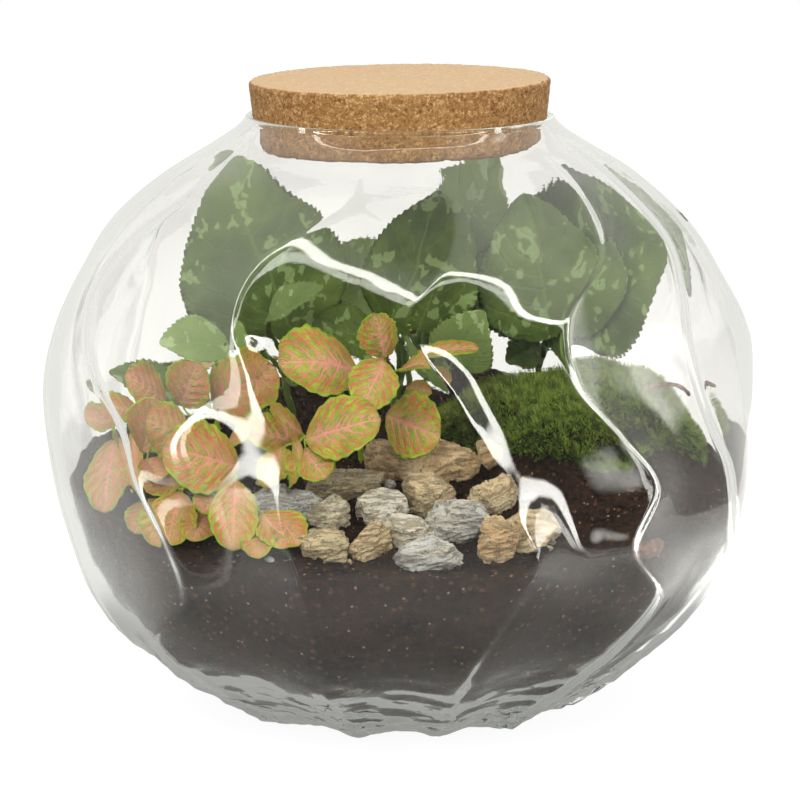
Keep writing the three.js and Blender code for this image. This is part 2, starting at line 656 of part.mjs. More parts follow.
function barkChip(grow) {
  const geometry = new THREE.SphereGeometry(0.5, 9, 5);
  const [length, depth, height] = BARK.size.map((side) => side + 2 * grow);
  geometry.scale(length, depth, height);
  geometry.rotateZ(radians(BARK.turn));
  geometry.translate(...BARK.place);
  return solid(geometry);
}

// Assembly

const allStems = [...VEINED_STEMS, ...BROAD_STEMS];
const chips = stoneChips();
const hollow = cavity(CLEARANCE * 1.2, 150);

let moss = hollow.intersect(mossMound()).subtract(groundBlock(CLEARANCE));
for (const stem of allStems) moss = moss.subtract(stemHole(stem));
let soil = hollow.intersect(groundBlock(0)).subtract(barkChip(CLEARANCE));
for (const stem of allStems) soil = soil.subtract(stemHole(stem));
STONES.forEach((stone, order) => {
  const seat = stoneHull(stone, order, CLEARANCE * 1.5);
  soil = soil.subtract(seat);
  moss = moss.subtract(seat);
});

const terrarium = new THREE.Group();
terrarium.add(namedMesh('glass_bowl', glassBowl(), glassMaterial));
terrarium.add(namedMesh('cork_stopper', corkStopper(), corkMaterial));
terrarium.add(namedMesh('soil', soil, soilMaterial));
terrarium.add(namedMesh('moss_mound', moss, mossMaterial));
chips.forEach((chip, order) => {
  const name = `stone_${String(order + 1).padStart(2, '0')}`;
  terrarium.add(namedMesh(name, chip, stoneMaterial));
});
terrarium.add(namedMesh('twig', twig(), barkMaterial));
terrarium.add(namedMesh('bark_chip', barkChip(0).intersect(hollow), barkMaterial));
for (const stem of VEINED_STEMS) {
  terrarium.add(namedMesh(stem.name, leafyStem(stem, VEINED_STYLE), veinedMaterial));
}
for (const stem of BROAD_STEMS) {
  terrarium.add(namedMesh(stem.name, leafyStem(stem, BROAD_STYLE), broadMaterial));
}

export default terrarium;
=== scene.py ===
"""A planted glass terrarium: folded glass, cork, soil, moss, stone chips and two kinds of plants.

Sizes and places are millimetres in the frame of the solids: +Z up, the origin in the middle of the flat
foot, and the front of the planting towards -Y. A finished mesh is turned into metres once, when it
becomes a piece.
"""

import logging
import math
from dataclasses import dataclass
from enum import Enum
from random import Random
from typing import Iterable, Mapping, Sequence

import bmesh
import bpy
from mathutils import Matrix, Vector, noise


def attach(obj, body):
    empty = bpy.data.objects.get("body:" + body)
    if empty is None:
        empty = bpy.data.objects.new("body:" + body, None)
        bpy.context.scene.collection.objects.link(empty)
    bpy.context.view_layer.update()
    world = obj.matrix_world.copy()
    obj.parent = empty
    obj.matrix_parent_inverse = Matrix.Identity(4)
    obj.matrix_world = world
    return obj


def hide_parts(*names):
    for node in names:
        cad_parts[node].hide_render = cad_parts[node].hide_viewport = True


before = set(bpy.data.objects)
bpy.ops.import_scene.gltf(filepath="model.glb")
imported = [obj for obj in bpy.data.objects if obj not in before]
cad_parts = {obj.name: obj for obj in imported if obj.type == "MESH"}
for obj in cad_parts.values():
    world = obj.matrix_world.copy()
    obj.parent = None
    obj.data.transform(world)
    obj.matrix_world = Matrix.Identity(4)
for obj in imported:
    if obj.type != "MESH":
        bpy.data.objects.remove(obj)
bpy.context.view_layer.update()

log = logging.getLogger("terrarium")

METRES = 0.001
BODY = "root"
Point = tuple[float, float, float]
Pair = tuple[float, float]
Colour = tuple[float, float, float, float]
Spots = Sequence[tuple[Vector, Vector, float]]


class Slot(Enum):
    """The record's material slots."""

    GLASS = "glass"
    CORK = "cork"
    SOIL = "soil"
    MOSS = "moss"
    STONE = "stone"
    BARK = "bark"
    VEINED_LEAF = "veined_leaf"
    BROAD_LEAF = "broad_leaf"


def colour(red: float, green: float, blue: float) -> Colour:
    """Turns a screen colour into a linear one.

    Args:
        red: Red, 0 to 255.
        green: Green, 0 to 255.
        blue: Blue, 0 to 255.

    Returns:
        The linear colour with full alpha.
    """
    def linear(value: float) -> float:
        """Undoes the screen's curve for one channel."""
        share = value / 255
        return share / 12.92 if share <= 0.04045 else ((share + 0.055) / 1.055) ** 2.4
    return linear(red), linear(green), linear(blue), 1.0


def smooth(share: float) -> float:
    """Eases a share from 0 to 1."""
    share = min(max(share, 0.0), 1.0)
    return share * share * (3 - 2 * share)


def slope(place: float, span: Pair) -> float:
    """Eases from 0 to 1 along a span, which is its start and its length."""
    start, length = span
    return smooth((place - start) / length)


def spline(values: Sequence[float], position: float) -> float:
    """Reads a smooth curve through evenly spaced values.

    Args:
        values: The values, one at each whole position.
        position: Where to read, from 0 to the last whole position.

    Returns:
        The Catmull-Rom value there.
    """
    last = len(values) - 1
    index = min(max(int(position), 0), last - 1)
    t = position - index
    before, start = values[max(index - 1, 0)], values[index]
    end, after = values[index + 1], values[min(index + 2, last)]
    return 0.5 * (
        2 * start + (end - before) * t + (2 * before - 5 * start + 4 * end - after) * t * t
        + (3 * start - before - 3 * end + after) * t ** 3
    )


def curve_through(points: Sequence[Vector], steps: int) -> list[Vector]:
    """Lays evenly spaced points on a smooth curve through a few points.

    Args:
        points: The points that the curve passes through.
        steps: How many stretches the curve is cut into.

    Returns:
        steps + 1 points, ends included.
    """
    axes = [[point[axis] for point in points] for axis in range(3)]
    span = len(points) - 1
    return [Vector(spline(axis, span * i / steps) for axis in axes) for i in range(steps + 1)]


# Meshes and pieces

def sweep(mesh: bmesh.types.BMesh, path: Sequence[Vector], radii: Sequence[float], sides: int) -> None:
    """Adds a closed, tapered tube: a circle extruded along a path and turned to follow it.

    Args:
        mesh: The mesh that the tube is added to.
        path: The points of its middle line.
        radii: The radius at each of these points.
        sides: How many sides the tube has.
    """
    direction = (path[1] - path[0]).normalized()
    turn = direction.to_track_quat("Z", "Y")
    frame_before = Matrix.LocRotScale(path[0], turn, Vector((radii[0],) * 3))
    made = bmesh.ops.create_circle(mesh, cap_ends=False, segments=sides, radius=1, matrix=frame_before)
    ring = made["verts"]
    edges = list(dict.fromkeys(edge for vert in ring for edge in vert.link_edges))
    bmesh.ops.edgeloop_fill(mesh, edges=edges)
    for index in range(1, len(path)):
        ahead = path[min(index + 1, len(path) - 1)] - path[index - 1]
        following = ahead.normalized()
        turn = direction.rotation_difference(following) @ turn
        direction = following
        frame_next = Matrix.LocRotScale(path[index], turn, Vector((radii[index],) * 3))
        made = bmesh.ops.extrude_edge_only(mesh, edges=edges)["geom"]
        ring = [item for item in made if isinstance(item, bmesh.types.BMVert)]
        ends = set(ring)
        edges = [e for e in made if isinstance(e, bmesh.types.BMEdge) and ends.issuperset(e.verts)]
        step = frame_next @ frame_before.inverted()
        bmesh.ops.transform(mesh, matrix=step, verts=ring)
        frame_before = frame_next
    bmesh.ops.edgeloop_fill(mesh, edges=edges)


def turned_profile(profile: Sequence[Pair],
                   columns: int) -> tuple[bmesh.types.BMesh, bmesh.types.BMLayerItem]:
    """Spins a profile of radius and height right round the upright axis.

    Args:
        profile: Radius and height of each point, from the axis to the axis.
        columns: How many steps the turn has.

    Returns:
        The mesh, and the vertex layer that holds each vertex's place in the profile.
    """
    mesh = bmesh.new()
    ring_layer = mesh.verts.layers.int.new("ring")
    verts = [mesh.verts.new((radius, 0, height)) for radius, height in profile]
    for index, vert in enumerate(verts):
        vert[ring_layer] = index
    edges = [mesh.edges.new(pair) for pair in zip(verts, verts[1:])]
    bmesh.ops.spin(mesh, geom=verts + edges, axis=(0, 0, 1), cent=(0, 0, 0), angle=math.tau,
                   steps=columns, use_merge=True)
    return mesh, ring_layer


def closed(mesh: bmesh.types.BMesh) -> None:
    """Merges doubled vertices and turns every face outwards."""
    bmesh.ops.remove_doubles(mesh, verts=mesh.verts, dist=1e-3)
    bmesh.ops.dissolve_degenerate(mesh, edges=mesh.edges, dist=1e-4)
    bmesh.ops.recalc_face_normals(mesh, faces=mesh.faces)


def piece(name: str, mesh: bmesh.types.BMesh, material: bpy.types.Material,
          nodes: Iterable[str] = (), flat: bool = False) -> bpy.types.Object:
    """Turns a finished mesh in millimetres into a piece of the object.

    Args:
        name: The piece's name.
        mesh: The mesh, which is freed.
        material: Its finish.
        nodes: The solids that it stands for.
        flat: Whether its faces are shaded flat.

    Returns:
        The new object, riding on the one body.
    """
    bmesh.ops.scale(mesh, vec=(METRES,) * 3, verts=mesh.verts)
    for face in mesh.faces:
        face.smooth = not flat
    data = bpy.data.meshes.new(name)
    mesh.to_mesh(data)
    mesh.free()
    data.materials.append(material)
    thing = bpy.data.objects.new(name, data)
    bpy.context.scene.collection.objects.link(thing)
    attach(thing, BODY)
    if nodes:
        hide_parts(*nodes)
    data.calc_loop_triangles()
    log.info("%s: %d triangles", name, len(data.loop_triangles))
    return thing


def solid_copy(node: str) -> bmesh.types.BMesh:
    """Copies a solid's mesh into millimetres, with its loose triangles merged."""
    mesh = bmesh.new()
    mesh.from_mesh(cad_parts[node].data)
    bmesh.ops.scale(mesh, vec=(1 / METRES,) * 3, verts=mesh.verts)
    closed(mesh)
    return mesh


# Shader building

Socket = bpy.types.NodeSocket
Feed = Socket | float | tuple


class Tree:
    """A node tree that is written as steps, where each call adds one node and returns its outlet."""

    def __init__(self, tree: bpy.types.NodeTree) -> None:
        """Starts an empty tree."""
        self.tree = tree
        tree.nodes.clear()

    def feed(self, node: bpy.types.Node, inputs: Mapping[str | int, Feed]) -> None:
        """Links each outlet to its input, and writes each plain value there."""
        for name, value in inputs.items():
            socket = node.inputs[name]
            if isinstance(value, Socket):
                self.tree.links.new(value, socket)
            else:
                socket.default_value = value

    def add(self, kind: str, outlet: str | int = 0, inputs: Mapping[str | int, Feed] | None = None,
            **settings: str | bpy.types.NodeTree) -> Socket:
        """Adds a node.

        Args:
            kind: The node's class name.
            outlet: The name or number of the output that is returned.
            inputs: Values or outlets by input name or number.
            settings: The node's own properties.

        Returns:
            The chosen output.
        """
        node = self.tree.nodes.new(kind)
        for name, value in settings.items():
            setattr(node, name, value)
        self.feed(node, inputs or {})
        return node.outputs[outlet]

    def math(self, operation: str, *values: Feed) -> Socket:
        """Works out one sum."""
        return self.add("ShaderNodeMath", inputs=dict(enumerate(values)), operation=operation)

    def vector(self, operation: str, first: Feed, second: Feed) -> Socket:
        """Works out one sum of vectors."""
        return self.add("ShaderNodeVectorMath", inputs={0: first, 1: second}, operation=operation)

    def scaled(self, vector: Socket, factor: float) -> Socket:
        """Scales a vector."""
        return self.add("ShaderNodeVectorMath", inputs={0: vector, "Scale": factor}, operation="SCALE")

    def length(self, vector: Socket) -> Socket:
        """Measures a vector."""
        return self.add("ShaderNodeVectorMath", "Value", {0: vector}, operation="LENGTH")

    def parts(self, vector: Socket) -> Mapping[str, Socket]:
        """Takes a vector apart into its X, Y and Z."""
        return self.add("ShaderNodeSeparateXYZ", inputs={"Vector": vector}).node.outputs

    def ease(self, value: Feed, low: Feed, high: Feed, to_low: Feed = 0.0, to_high: Feed = 1.0) -> Socket:
        """Maps a range smoothly onto another."""
        inputs = {"Value": value, "From Min": low, "From Max": high, "To Min": to_low, "To Max": to_high}
        return self.add("ShaderNodeMapRange", inputs=inputs, interpolation_type="SMOOTHSTEP")

    def mix(self, share: Feed, first: Feed, second: Feed, blend: str = "MIX") -> Socket:
        """Mixes two colours."""
        inputs = {0: share, 6: first, 7: second}
        return self.add("ShaderNodeMix", 2, inputs, data_type="RGBA", blend_type=blend)

    def over(self, base: Socket, mask: Socket, amount: float, tone: Feed, blend: str = "MIX") -> Socket:
        """Lays a tone over a colour through a mask, as strongly as the amount says."""
        return self.mix(self.math("MULTIPLY", mask, amount), base, tone, blend)

    def mix_value(self, share: Feed, first: Feed, second: Feed) -> Socket:
        """Mixes two values."""
        return self.add("ShaderNodeMix", 0, {0: share, 2: first, 3: second}, data_type="FLOAT")

    def noise(self, place: Socket, scale: Feed, detail: float = 3.0, rough: float = 0.55) -> Socket:
        """Reads a soft noise."""
        inputs = {"Vector": place, "Scale": scale, "Detail": detail, "Roughness": rough}
        return self.add("ShaderNodeTexNoise", "Fac", inputs)

    def bent(self, pattern: Socket, place: Socket, scale: float, reach: float, still: float = 0.0) -> Socket:
        """Bends the places at which a pattern is read.

        Args:
            pattern: The places.
            place: Where the noise that bends them is read.
            scale: That noise's scale.
            reach: How far it moves a place.
            still: The noise's value that leaves a place where it is.

        Returns:
            The bent places.
        """
        wobble = self.add("ShaderNodeTexNoise", "Color", {"Vector": place, "Scale": scale})
        wobble = self.vector("SUBTRACT", wobble, (still, still, still))
        return self.vector("ADD", pattern, self.scaled(wobble, reach))

    def cells(self, place: Socket, scale: Feed, feature: str = "F1", outlet: str = "Distance") -> Socket:
        """Reads a pattern of cells."""
        return self.add("ShaderNodeTexVoronoi", outlet, {"Vector": place, "Scale": scale}, feature=feature)

    def chance(self, place: Socket, scale: float, channel: str = "Red") -> Socket:
        """Gives each cell of a pattern its own value from 0 to 1."""
        return self.add("ShaderNodeSeparateColor", channel, {
            "Color": self.cells(place, scale, outlet="Color")})

    def bump(self, height: Socket, strength: float, distance_mm: float) -> Socket:
        """Raises the surface by a height."""
        inputs = {"Height": height, "Strength": strength, "Distance": distance_mm * METRES}
        return self.add("ShaderNodeBump", inputs=inputs)

    def ramp(self, share: Socket, stops: Sequence[tuple[float, Colour]]) -> Socket:
        """Reads a colour from a row of stops."""
        outlet = self.add("ShaderNodeValToRGB", "Color", {"Fac": share})
        elements = outlet.node.color_ramp.elements
        while len(elements) < len(stops):
            elements.new(0.5)
        for element, (place, tone) in zip(elements, stops):
            element.position = place
            element.color = tone
        return outlet

    def millimetres(self) -> Socket:
        """Gives the place on the object, in millimetres."""
        return self.scaled(self.add("ShaderNodeTexCoord", "Object"), 1 / METRES)

    def leaf_plan(self) -> Socket:
        """Gives the place on a blade from its own map: across it, and along it."""
        return self.add("ShaderNodeTexCoord", "UV")

    def own_tone(self) -> Socket:
        """Gives the tone that a chip or a blade carries."""
        return self.add("ShaderNodeAttribute", "Fac", attribute_name="tone")

    def group(self, group: bpy.types.NodeTree, outlet: str, **inputs: Feed) -> Socket:
        """Places a node group."""
        return self.add("ShaderNodeGroup", outlet, inputs, node_tree=group)


def new_group(name: str, inlets: dict[str, str],
              outlets: dict[str, str]) -> tuple[bpy.types.NodeTree, Tree, dict[str, Socket]]:
    """Starts a shader node group.

    Args:
        name: The group's name.
        inlets: Socket type by input name.
        outlets: Socket type by output name.

    Returns:
        The group, its tree, and its inputs by name.
    """
    group = bpy.data.node_groups.new(name, "ShaderNodeTree")
    for side, sockets in (("INPUT", inlets), ("OUTPUT", outlets)):
        for label, kind in sockets.items():
            group.interface.new_socket(label, in_out=side, socket_type=kind)
    tree = Tree(group)
    start = group.nodes.new("NodeGroupInput")
    return group, tree, {label: start.outputs[label] for label in inlets}


def close_group(tree: Tree, **values: Socket) -> None:
    """Feeds a group's outputs."""
    tree.feed(tree.tree.nodes.new("NodeGroupOutput"), values)


FLOAT, VECTOR = "NodeSocketFloat", "NodeSocketVector"


class Effects:
    """The effects that more than one finish uses, each a node group that is made once."""

    BROAD_SHARE = 0.62
    FINE_SHARE = 0.38
    FINER = 4.3
    FLECK_SIZE = 0.42
    VEIN_ARCH = 1.25
    VEIN_END = (0.82, 0.98)

    def __init__(self) -> None:
        """Builds every group."""
        self.mottle = self._mottle()
        self.flecks = self._flecks()
        self.veins = self._veins()

    def _mottle(self) -> bpy.types.NodeTree:
        """Soft patches in two sizes, from 0 to 1."""
        group, tree, inlets = new_group("mottle", {"Place": VECTOR, "Scale": FLOAT}, {"Share": FLOAT})
        place, scale = inlets["Place"], inlets["Scale"]
        broad = tree.noise(place, scale)
        fine = tree.noise(place, tree.math("MULTIPLY", scale, self.FINER), detail=4.0, rough=0.65)
        both = tree.math("ADD", tree.math("MULTIPLY", broad, self.BROAD_SHARE),
                         tree.math("MULTIPLY", fine, self.FINE_SHARE))
        close_group(tree, Share=tree.ease(both, 0.34, 0.66))
        return group

    def _flecks(self) -> bpy.types.NodeTree:
        """Scattered specks: a mask of small uneven dots."""
        group, tree, inlets = new_group(
            "flecks", {"Place": VECTOR, "Scale": FLOAT, "Share": FLOAT}, {"Mask": FLOAT})
        place = tree.bent(inlets["Place"], inlets["Place"], scale=2.0, reach=0.5, still=0.5)
        near = tree.cells(place, inlets["Scale"])
        chance = tree.add("ShaderNodeSeparateColor", "Red", {"Color": near.node.outputs["Color"]})
        size = tree.math("MULTIPLY", tree.math("LESS_THAN", chance, inlets["Share"]), self.FLECK_SIZE)
        close_group(tree, Mask=tree.math("LESS_THAN", near, size))
        return group

    def _veins(self) -> bpy.types.NodeTree:
        """A leaf's midrib and side veins, as masks on its own map."""
        group, tree, inlets = new_group(
            "leaf veins",
            {"Plan": VECTOR, "Side Veins": FLOAT, "Slope": FLOAT, "Rib Width": FLOAT, "Vein Width": FLOAT},
            {"Rib": FLOAT, "Veins": FLOAT, "Across": FLOAT, "Climb": FLOAT})
        plan = tree.parts(tree.bent(inlets["Plan"], inlets["Plan"], scale=3.0, reach=0.06, still=0.5))
        side = tree.math("ABSOLUTE", tree.math("SUBTRACT", tree.math("MULTIPLY", plan["X"], 2.0), 1.0))
        rib = tree.ease(tree.math("DIVIDE", side, inlets["Rib Width"]), 0.4, 1.0, 1.0, 0.0)
        arched = tree.math("MULTIPLY", tree.math("POWER", side, self.VEIN_ARCH), inlets["Slope"])
        climb = tree.math("SUBTRACT", plan["Y"], arched)
        phase = tree.math("MULTIPLY", climb, inlets["Side Veins"])
        off = tree.math("ABSOLUTE", tree.math("SUBTRACT", tree.math("FRACT", phase), 0.5))
        vein = tree.ease(tree.math("DIVIDE", off, inlets["Vein Width"]), 0.35, 1.0, 1.0, 0.0)
        fading = tree.math("MULTIPLY", vein, tree.ease(side, *self.VEIN_END, 1.0, 0.0))
        close_group(tree, Rib=rib, Veins=fading, Across=side, Climb=climb)
        return group


@dataclass(frozen=True)
class Finish:
    """A surface finish. A child class builds its colour and relief."""

    name: str
    effects: Effects

    def start(self) -> tuple[bpy.types.Material, Tree]:
        """Makes an empty material."""
        material = bpy.data.materials.new(self.name)
        material.use_nodes = True
        return material, Tree(material.node_tree)

    @staticmethod
    def close(tree: Tree, shader: Socket, volume: Socket | None = None) -> None:
        """Joins a shader to the material's output."""
        inputs = {"Surface": shader}
        if volume is not None:
            inputs["Volume"] = volume
        tree.feed(tree.tree.nodes.new("ShaderNodeOutputMaterial"), inputs)

    @classmethod
    def dull(cls, tree: Tree, base: Socket, roughness: float, specular: float = 0.5,
             relief: Socket | None = None) -> None:
        """Ends a finish that isn't glass.

        Args:
            tree: The material's tree.
            base: Its colour.
            roughness: How rough it is.
            specular: How strongly it mirrors.
            relief: Its raised or sunk surface, as a normal.
        """
        inputs = {"Base Color": base, "Roughness": roughness, "Specular IOR Level": specular}
        if relief is not None:
            inputs["Normal"] = relief
        cls.close(tree, tree.add("ShaderNodeBsdfPrincipled", inputs=inputs))

    def mottled(self, tree: Tree, place: Socket, scale: float) -> Socket:
        """Reads soft patches in two sizes."""
        return tree.group(self.effects.mottle, "Share", Place=place, Scale=scale)

    def flecked(self, tree: Tree, place: Socket, scale: float, share: float) -> Socket:
        """Reads scattered specks, in a share of the cells."""
        return tree.group(self.effects.flecks, "Mask", Place=place, Scale=scale, Share=share)

    def veined(self, tree: Tree, side_veins: float, slope: float, rib_width: float,
               vein_width: float) -> Mapping[str, Socket]:
        """Reads a blade's veins.

        Args:
            tree: The material's tree.
            side_veins: How many side veins run to each edge.
            slope: How far a side vein climbs on its way.
            rib_width: The midrib's half width, as a share of the blade's.
            vein_width: A side vein's half width, as a share of the space between two.

        Returns:
            The group's outputs by name.
        """
        return tree.group(self.effects.veins, "Veins", Plan=tree.leaf_plan(), **{
            "Side Veins": side_veins, "Slope": slope, "Rib Width": rib_width,
            "Vein Width": vein_width}).node.outputs


@dataclass(frozen=True)
class GlassFinish(Finish):
    """Clear glass that lets the light of the studio through to the planting."""

    tint: Colour = (0.985, 0.985, 0.978, 1.0)
    clear_tint: Colour = (0.96, 0.97, 0.965, 1.0)
    depth_tint: Colour = (0.55, 0.66, 0.62, 1.0)
    depth_density: float = 7.0
    index: float = 1.5
    last_bend: float = 8.5
    last_mirror: float = 2.5
    cords: Point = (110.0, 110.0, 800.0)
    cord_height: float = 0.0075

    def build(self) -> bpy.types.Material:
        """Builds the glass."""
        material, tree = self.start()
        place = tree.vector("MULTIPLY", tree.add("ShaderNodeTexCoord", "Object"), self.cords)
        cords = tree.noise(place, 1.0, detail=3.0, rough=0.6)
        glass = tree.add("ShaderNodeBsdfPrincipled", inputs={
            "Base Color": self.tint, "Roughness": 0.0, "IOR": self.index, "Transmission Weight": 1.0,
            "Normal": tree.bump(cords, 1.0, self.cord_height)})
        clear = tree.add("ShaderNodeBsdfTransparent", inputs={"Color": self.clear_tint})
        shadow = tree.add("ShaderNodeLightPath", "Is Shadow Ray")
        paths = shadow.node.outputs
        passing = tree.math("MAXIMUM", shadow, paths["Is Diffuse Ray"])
        for depth, last in ((paths["Ray Depth"], self.last_bend), (paths["Glossy Depth"], self.last_mirror)):
            passing = tree.math("MAXIMUM", passing, tree.math("GREATER_THAN", depth, last))
        both = tree.add("ShaderNodeMixShader", inputs={0: passing, 1: glass, 2: clear})
        body = tree.add("ShaderNodeVolumeAbsorption", inputs={
            "Color": self.depth_tint, "Density": self.depth_density})
        self.close(tree, both, body)
        return material


@dataclass(frozen=True)
class CorkFinish(Finish):
    """Pressed cork granules: coarse and fine crumbs in six tones, with dark pits and seams."""

    coarse: float = 0.7
    fine: float = 1.9
    tones: tuple[tuple[float, Colour], ...] = (
        (0.0, colour(84, 54, 26)), (0.16, colour(118, 82, 44)), (0.4, colour(140, 102, 58)),
        (0.66, colour(154, 116, 70)), (0.86, colour(186, 152, 104)), (1.0, colour(130, 92, 50)))
    pit_tone: Colour = colour(96, 62, 36)
    seam_tone: Colour = colour(120, 80, 48)
    patch_tone: Colour = colour(160, 112, 68)
    # The paler top: partly the sanded face's own colour, partly painted light from above.
    sanded_and_lit_tone: Colour = colour(196, 172, 138)
    sanded_and_lit_share: float = 0.62

    def build(self) -> bpy.types.Material:
        """Builds the cork, whose top is paler: partly its sanded face, partly painted light from above."""
        material, tree = self.start()
        place = tree.millimetres()
        large = tree.chance(place, self.coarse)
        small = tree.chance(place, self.fine, "Green")
        pick = tree.math("ADD", tree.math("MULTIPLY", large, 0.45), tree.math("MULTIPLY", small, 0.55))
        base = tree.ramp(pick, self.tones)
        pits = self.flecked(tree, place, scale=0.75, share=0.16)
        base = tree.over(base, pits, 0.55, self.pit_tone)
        seam = tree.ease(tree.cells(place, self.coarse, "DISTANCE_TO_EDGE"), 0.0, 0.12, 1.0, 0.0)
        base = tree.over(base, seam, 0.28, self.seam_tone)
        patch = self.mottled(tree, place, 0.09)
        base = tree.over(base, patch, 0.16, self.patch_tone, "MULTIPLY")
        # Where the surface faces up it is painted paler: the sanded face, and painted light falling from
        # above.
        upward = tree.parts(tree.add("ShaderNodeTexCoord", "Normal"))["Z"]
        base = tree.over(base, tree.ease(upward, 0.7, 0.95), self.sanded_and_lit_share, self.sanded_and_lit_tone)
        height = tree.math("SUBTRACT", tree.math("MULTIPLY", small, 0.5), tree.math("MULTIPLY", seam, 0.5))
        height = tree.math("SUBTRACT", height, tree.math("MULTIPLY", pits, 1.2))
        self.dull(tree, base, roughness=0.88, specular=0.25, relief=tree.bump(height, 0.55, 0.35))
        return material


@dataclass(frozen=True)
class Spot:
    """A patch of another stuff in the soil: its middle, its reach along each axis, and its colour."""

    middle: Point
    reach: Point
    tone: Colour


SOIL_SPOTS = (
    Spot((-57, -80, 37), (5, 9, 3), colour(158, 124, 88)),
    Spot((-14, -88, 29), (10, 16, 4), colour(150, 146, 126)),
    Spot((90, -74, 96), (20, 30, 15), colour(168, 140, 110)),
    Spot((60, -72, 33), (12, 12, 4), colour(118, 96, 70)),
)


@dataclass(frozen=True)
class SoilFinish(Finish):
    """Moist potting soil: near-black crumbs, brown fibres, pale grains and a few foreign patches."""

    spots: tuple[Spot, ...] = SOIL_SPOTS
    crumb_scale: float = 0.9
    tones: tuple[tuple[float, Colour], ...] = (
        (0.0, colour(10, 6, 4)), (0.5, colour(30, 20, 14)), (0.85, colour(50, 34, 25)),
        (1.0, colour(70, 50, 36)))
    damp_tone: Colour = colour(66, 49, 38)
    crumb_tone: Colour = colour(26, 18, 13)
    fibre_tone: Colour = colour(98, 70, 50)
    grit_tone: Colour = colour(158, 140, 116)

    @staticmethod
    def spot_mask(tree: Tree, place: Socket, spot: Spot) -> Socket:
        """Marks a patch with a broken edge."""
        away = tree.vector("DIVIDE", tree.vector("SUBTRACT", place, spot.middle), spot.reach)
        broken = tree.math("MULTIPLY", tree.noise(place, 0.55, detail=4.0, rough=0.7), 1.9)
        return tree.ease(tree.math("ADD", tree.length(away), broken), 1.05, 1.5, 0.85, 0.0)

    def build(self) -> bpy.types.Material:
        """Builds the soil."""
        material, tree = self.start()
        place = tree.millimetres()
        share = self.mottled(tree, place, 0.35)
        base = tree.ramp(share, self.tones)
        base = tree.over(base, self.mottled(tree, place, 0.06), 0.6, self.damp_tone)
        base = tree.over(base, tree.chance(place, self.crumb_scale), 0.5, self.crumb_tone)
        base = tree.over(base, self.flecked(tree, place, scale=0.5, share=0.12), 0.6, self.fibre_tone)
        base = tree.over(base, self.flecked(tree, place, scale=0.85, share=0.025), 0.65, self.grit_tone)
        for spot in self.spots:
            base = tree.mix(self.spot_mask(tree, place, spot), base, spot.tone)
        height = tree.math("ADD", tree.cells(place, self.crumb_scale), share)
        self.dull(tree, base, roughness=0.9, specular=0.06, relief=tree.bump(height, 0.7, 0.8))
        return material


@dataclass(frozen=True)
class MossFinish(Finish):
    """Moss with dry patches, darker at its feet as painted shade and paler at its tips as new growth and
    painted light, with patches of painted shade standing for the hollows between tufts. The map's height goes
    from foot to tip.
    """

    # Each ramp runs from foot to tip: darker at the foot as painted shade under the tips, paler at the tip as
    # new growth and painted light.
    fresh_shade_to_light: tuple[tuple[float, Colour], ...] = (
        (0.0, colour(24, 30, 9)), (0.35, colour(64, 82, 22)), (0.75, colour(122, 142, 50)),
        (1.0, colour(182, 196, 104)))
    dried_shade_to_light: tuple[tuple[float, Colour], ...] = (
        (0.0, colour(36, 26, 12)), (0.5, colour(96, 78, 36)), (1.0, colour(158, 140, 84)))
    other_green: Colour = colour(76, 104, 26)
    # Painted shade laid in soft patches, standing for the shade in the hollows between tufts.
    painted_hollow_shade: Colour = colour(26, 34, 11)

    def build(self) -> bpy.types.Material:
        """Builds the moss."""
        material, tree = self.start()
        place = tree.millimetres()
        plan = tree.parts(tree.leaf_plan())
        chance, height = plan["X"], plan["Y"]
        patch = self.mottled(tree, place, 0.05)
        dry = tree.math("MULTIPLY", tree.ease(patch, 0.55, 0.95), tree.ease(chance, 0.2, 0.9))
        # Colour by height on the shoot: painted shade at the foot, painted light together with new growth at
        # the tip.
        base = tree.mix(dry, tree.ramp(height, self.fresh_shade_to_light), tree.ramp(height, self.dried_shade_to_light))
        base = tree.over(base, chance, 0.35, self.other_green)
        # Painted shade: soft noise patches darkened as if they were hollows between tufts.
        hollow = tree.ease(tree.noise(place, 0.3, detail=2.0), 0.4, 0.58, 0.6, 0.0)
        base = tree.mix(hollow, base, self.painted_hollow_shade)
        self.dull(tree, base, roughness=0.75, specular=0.25)
        return material


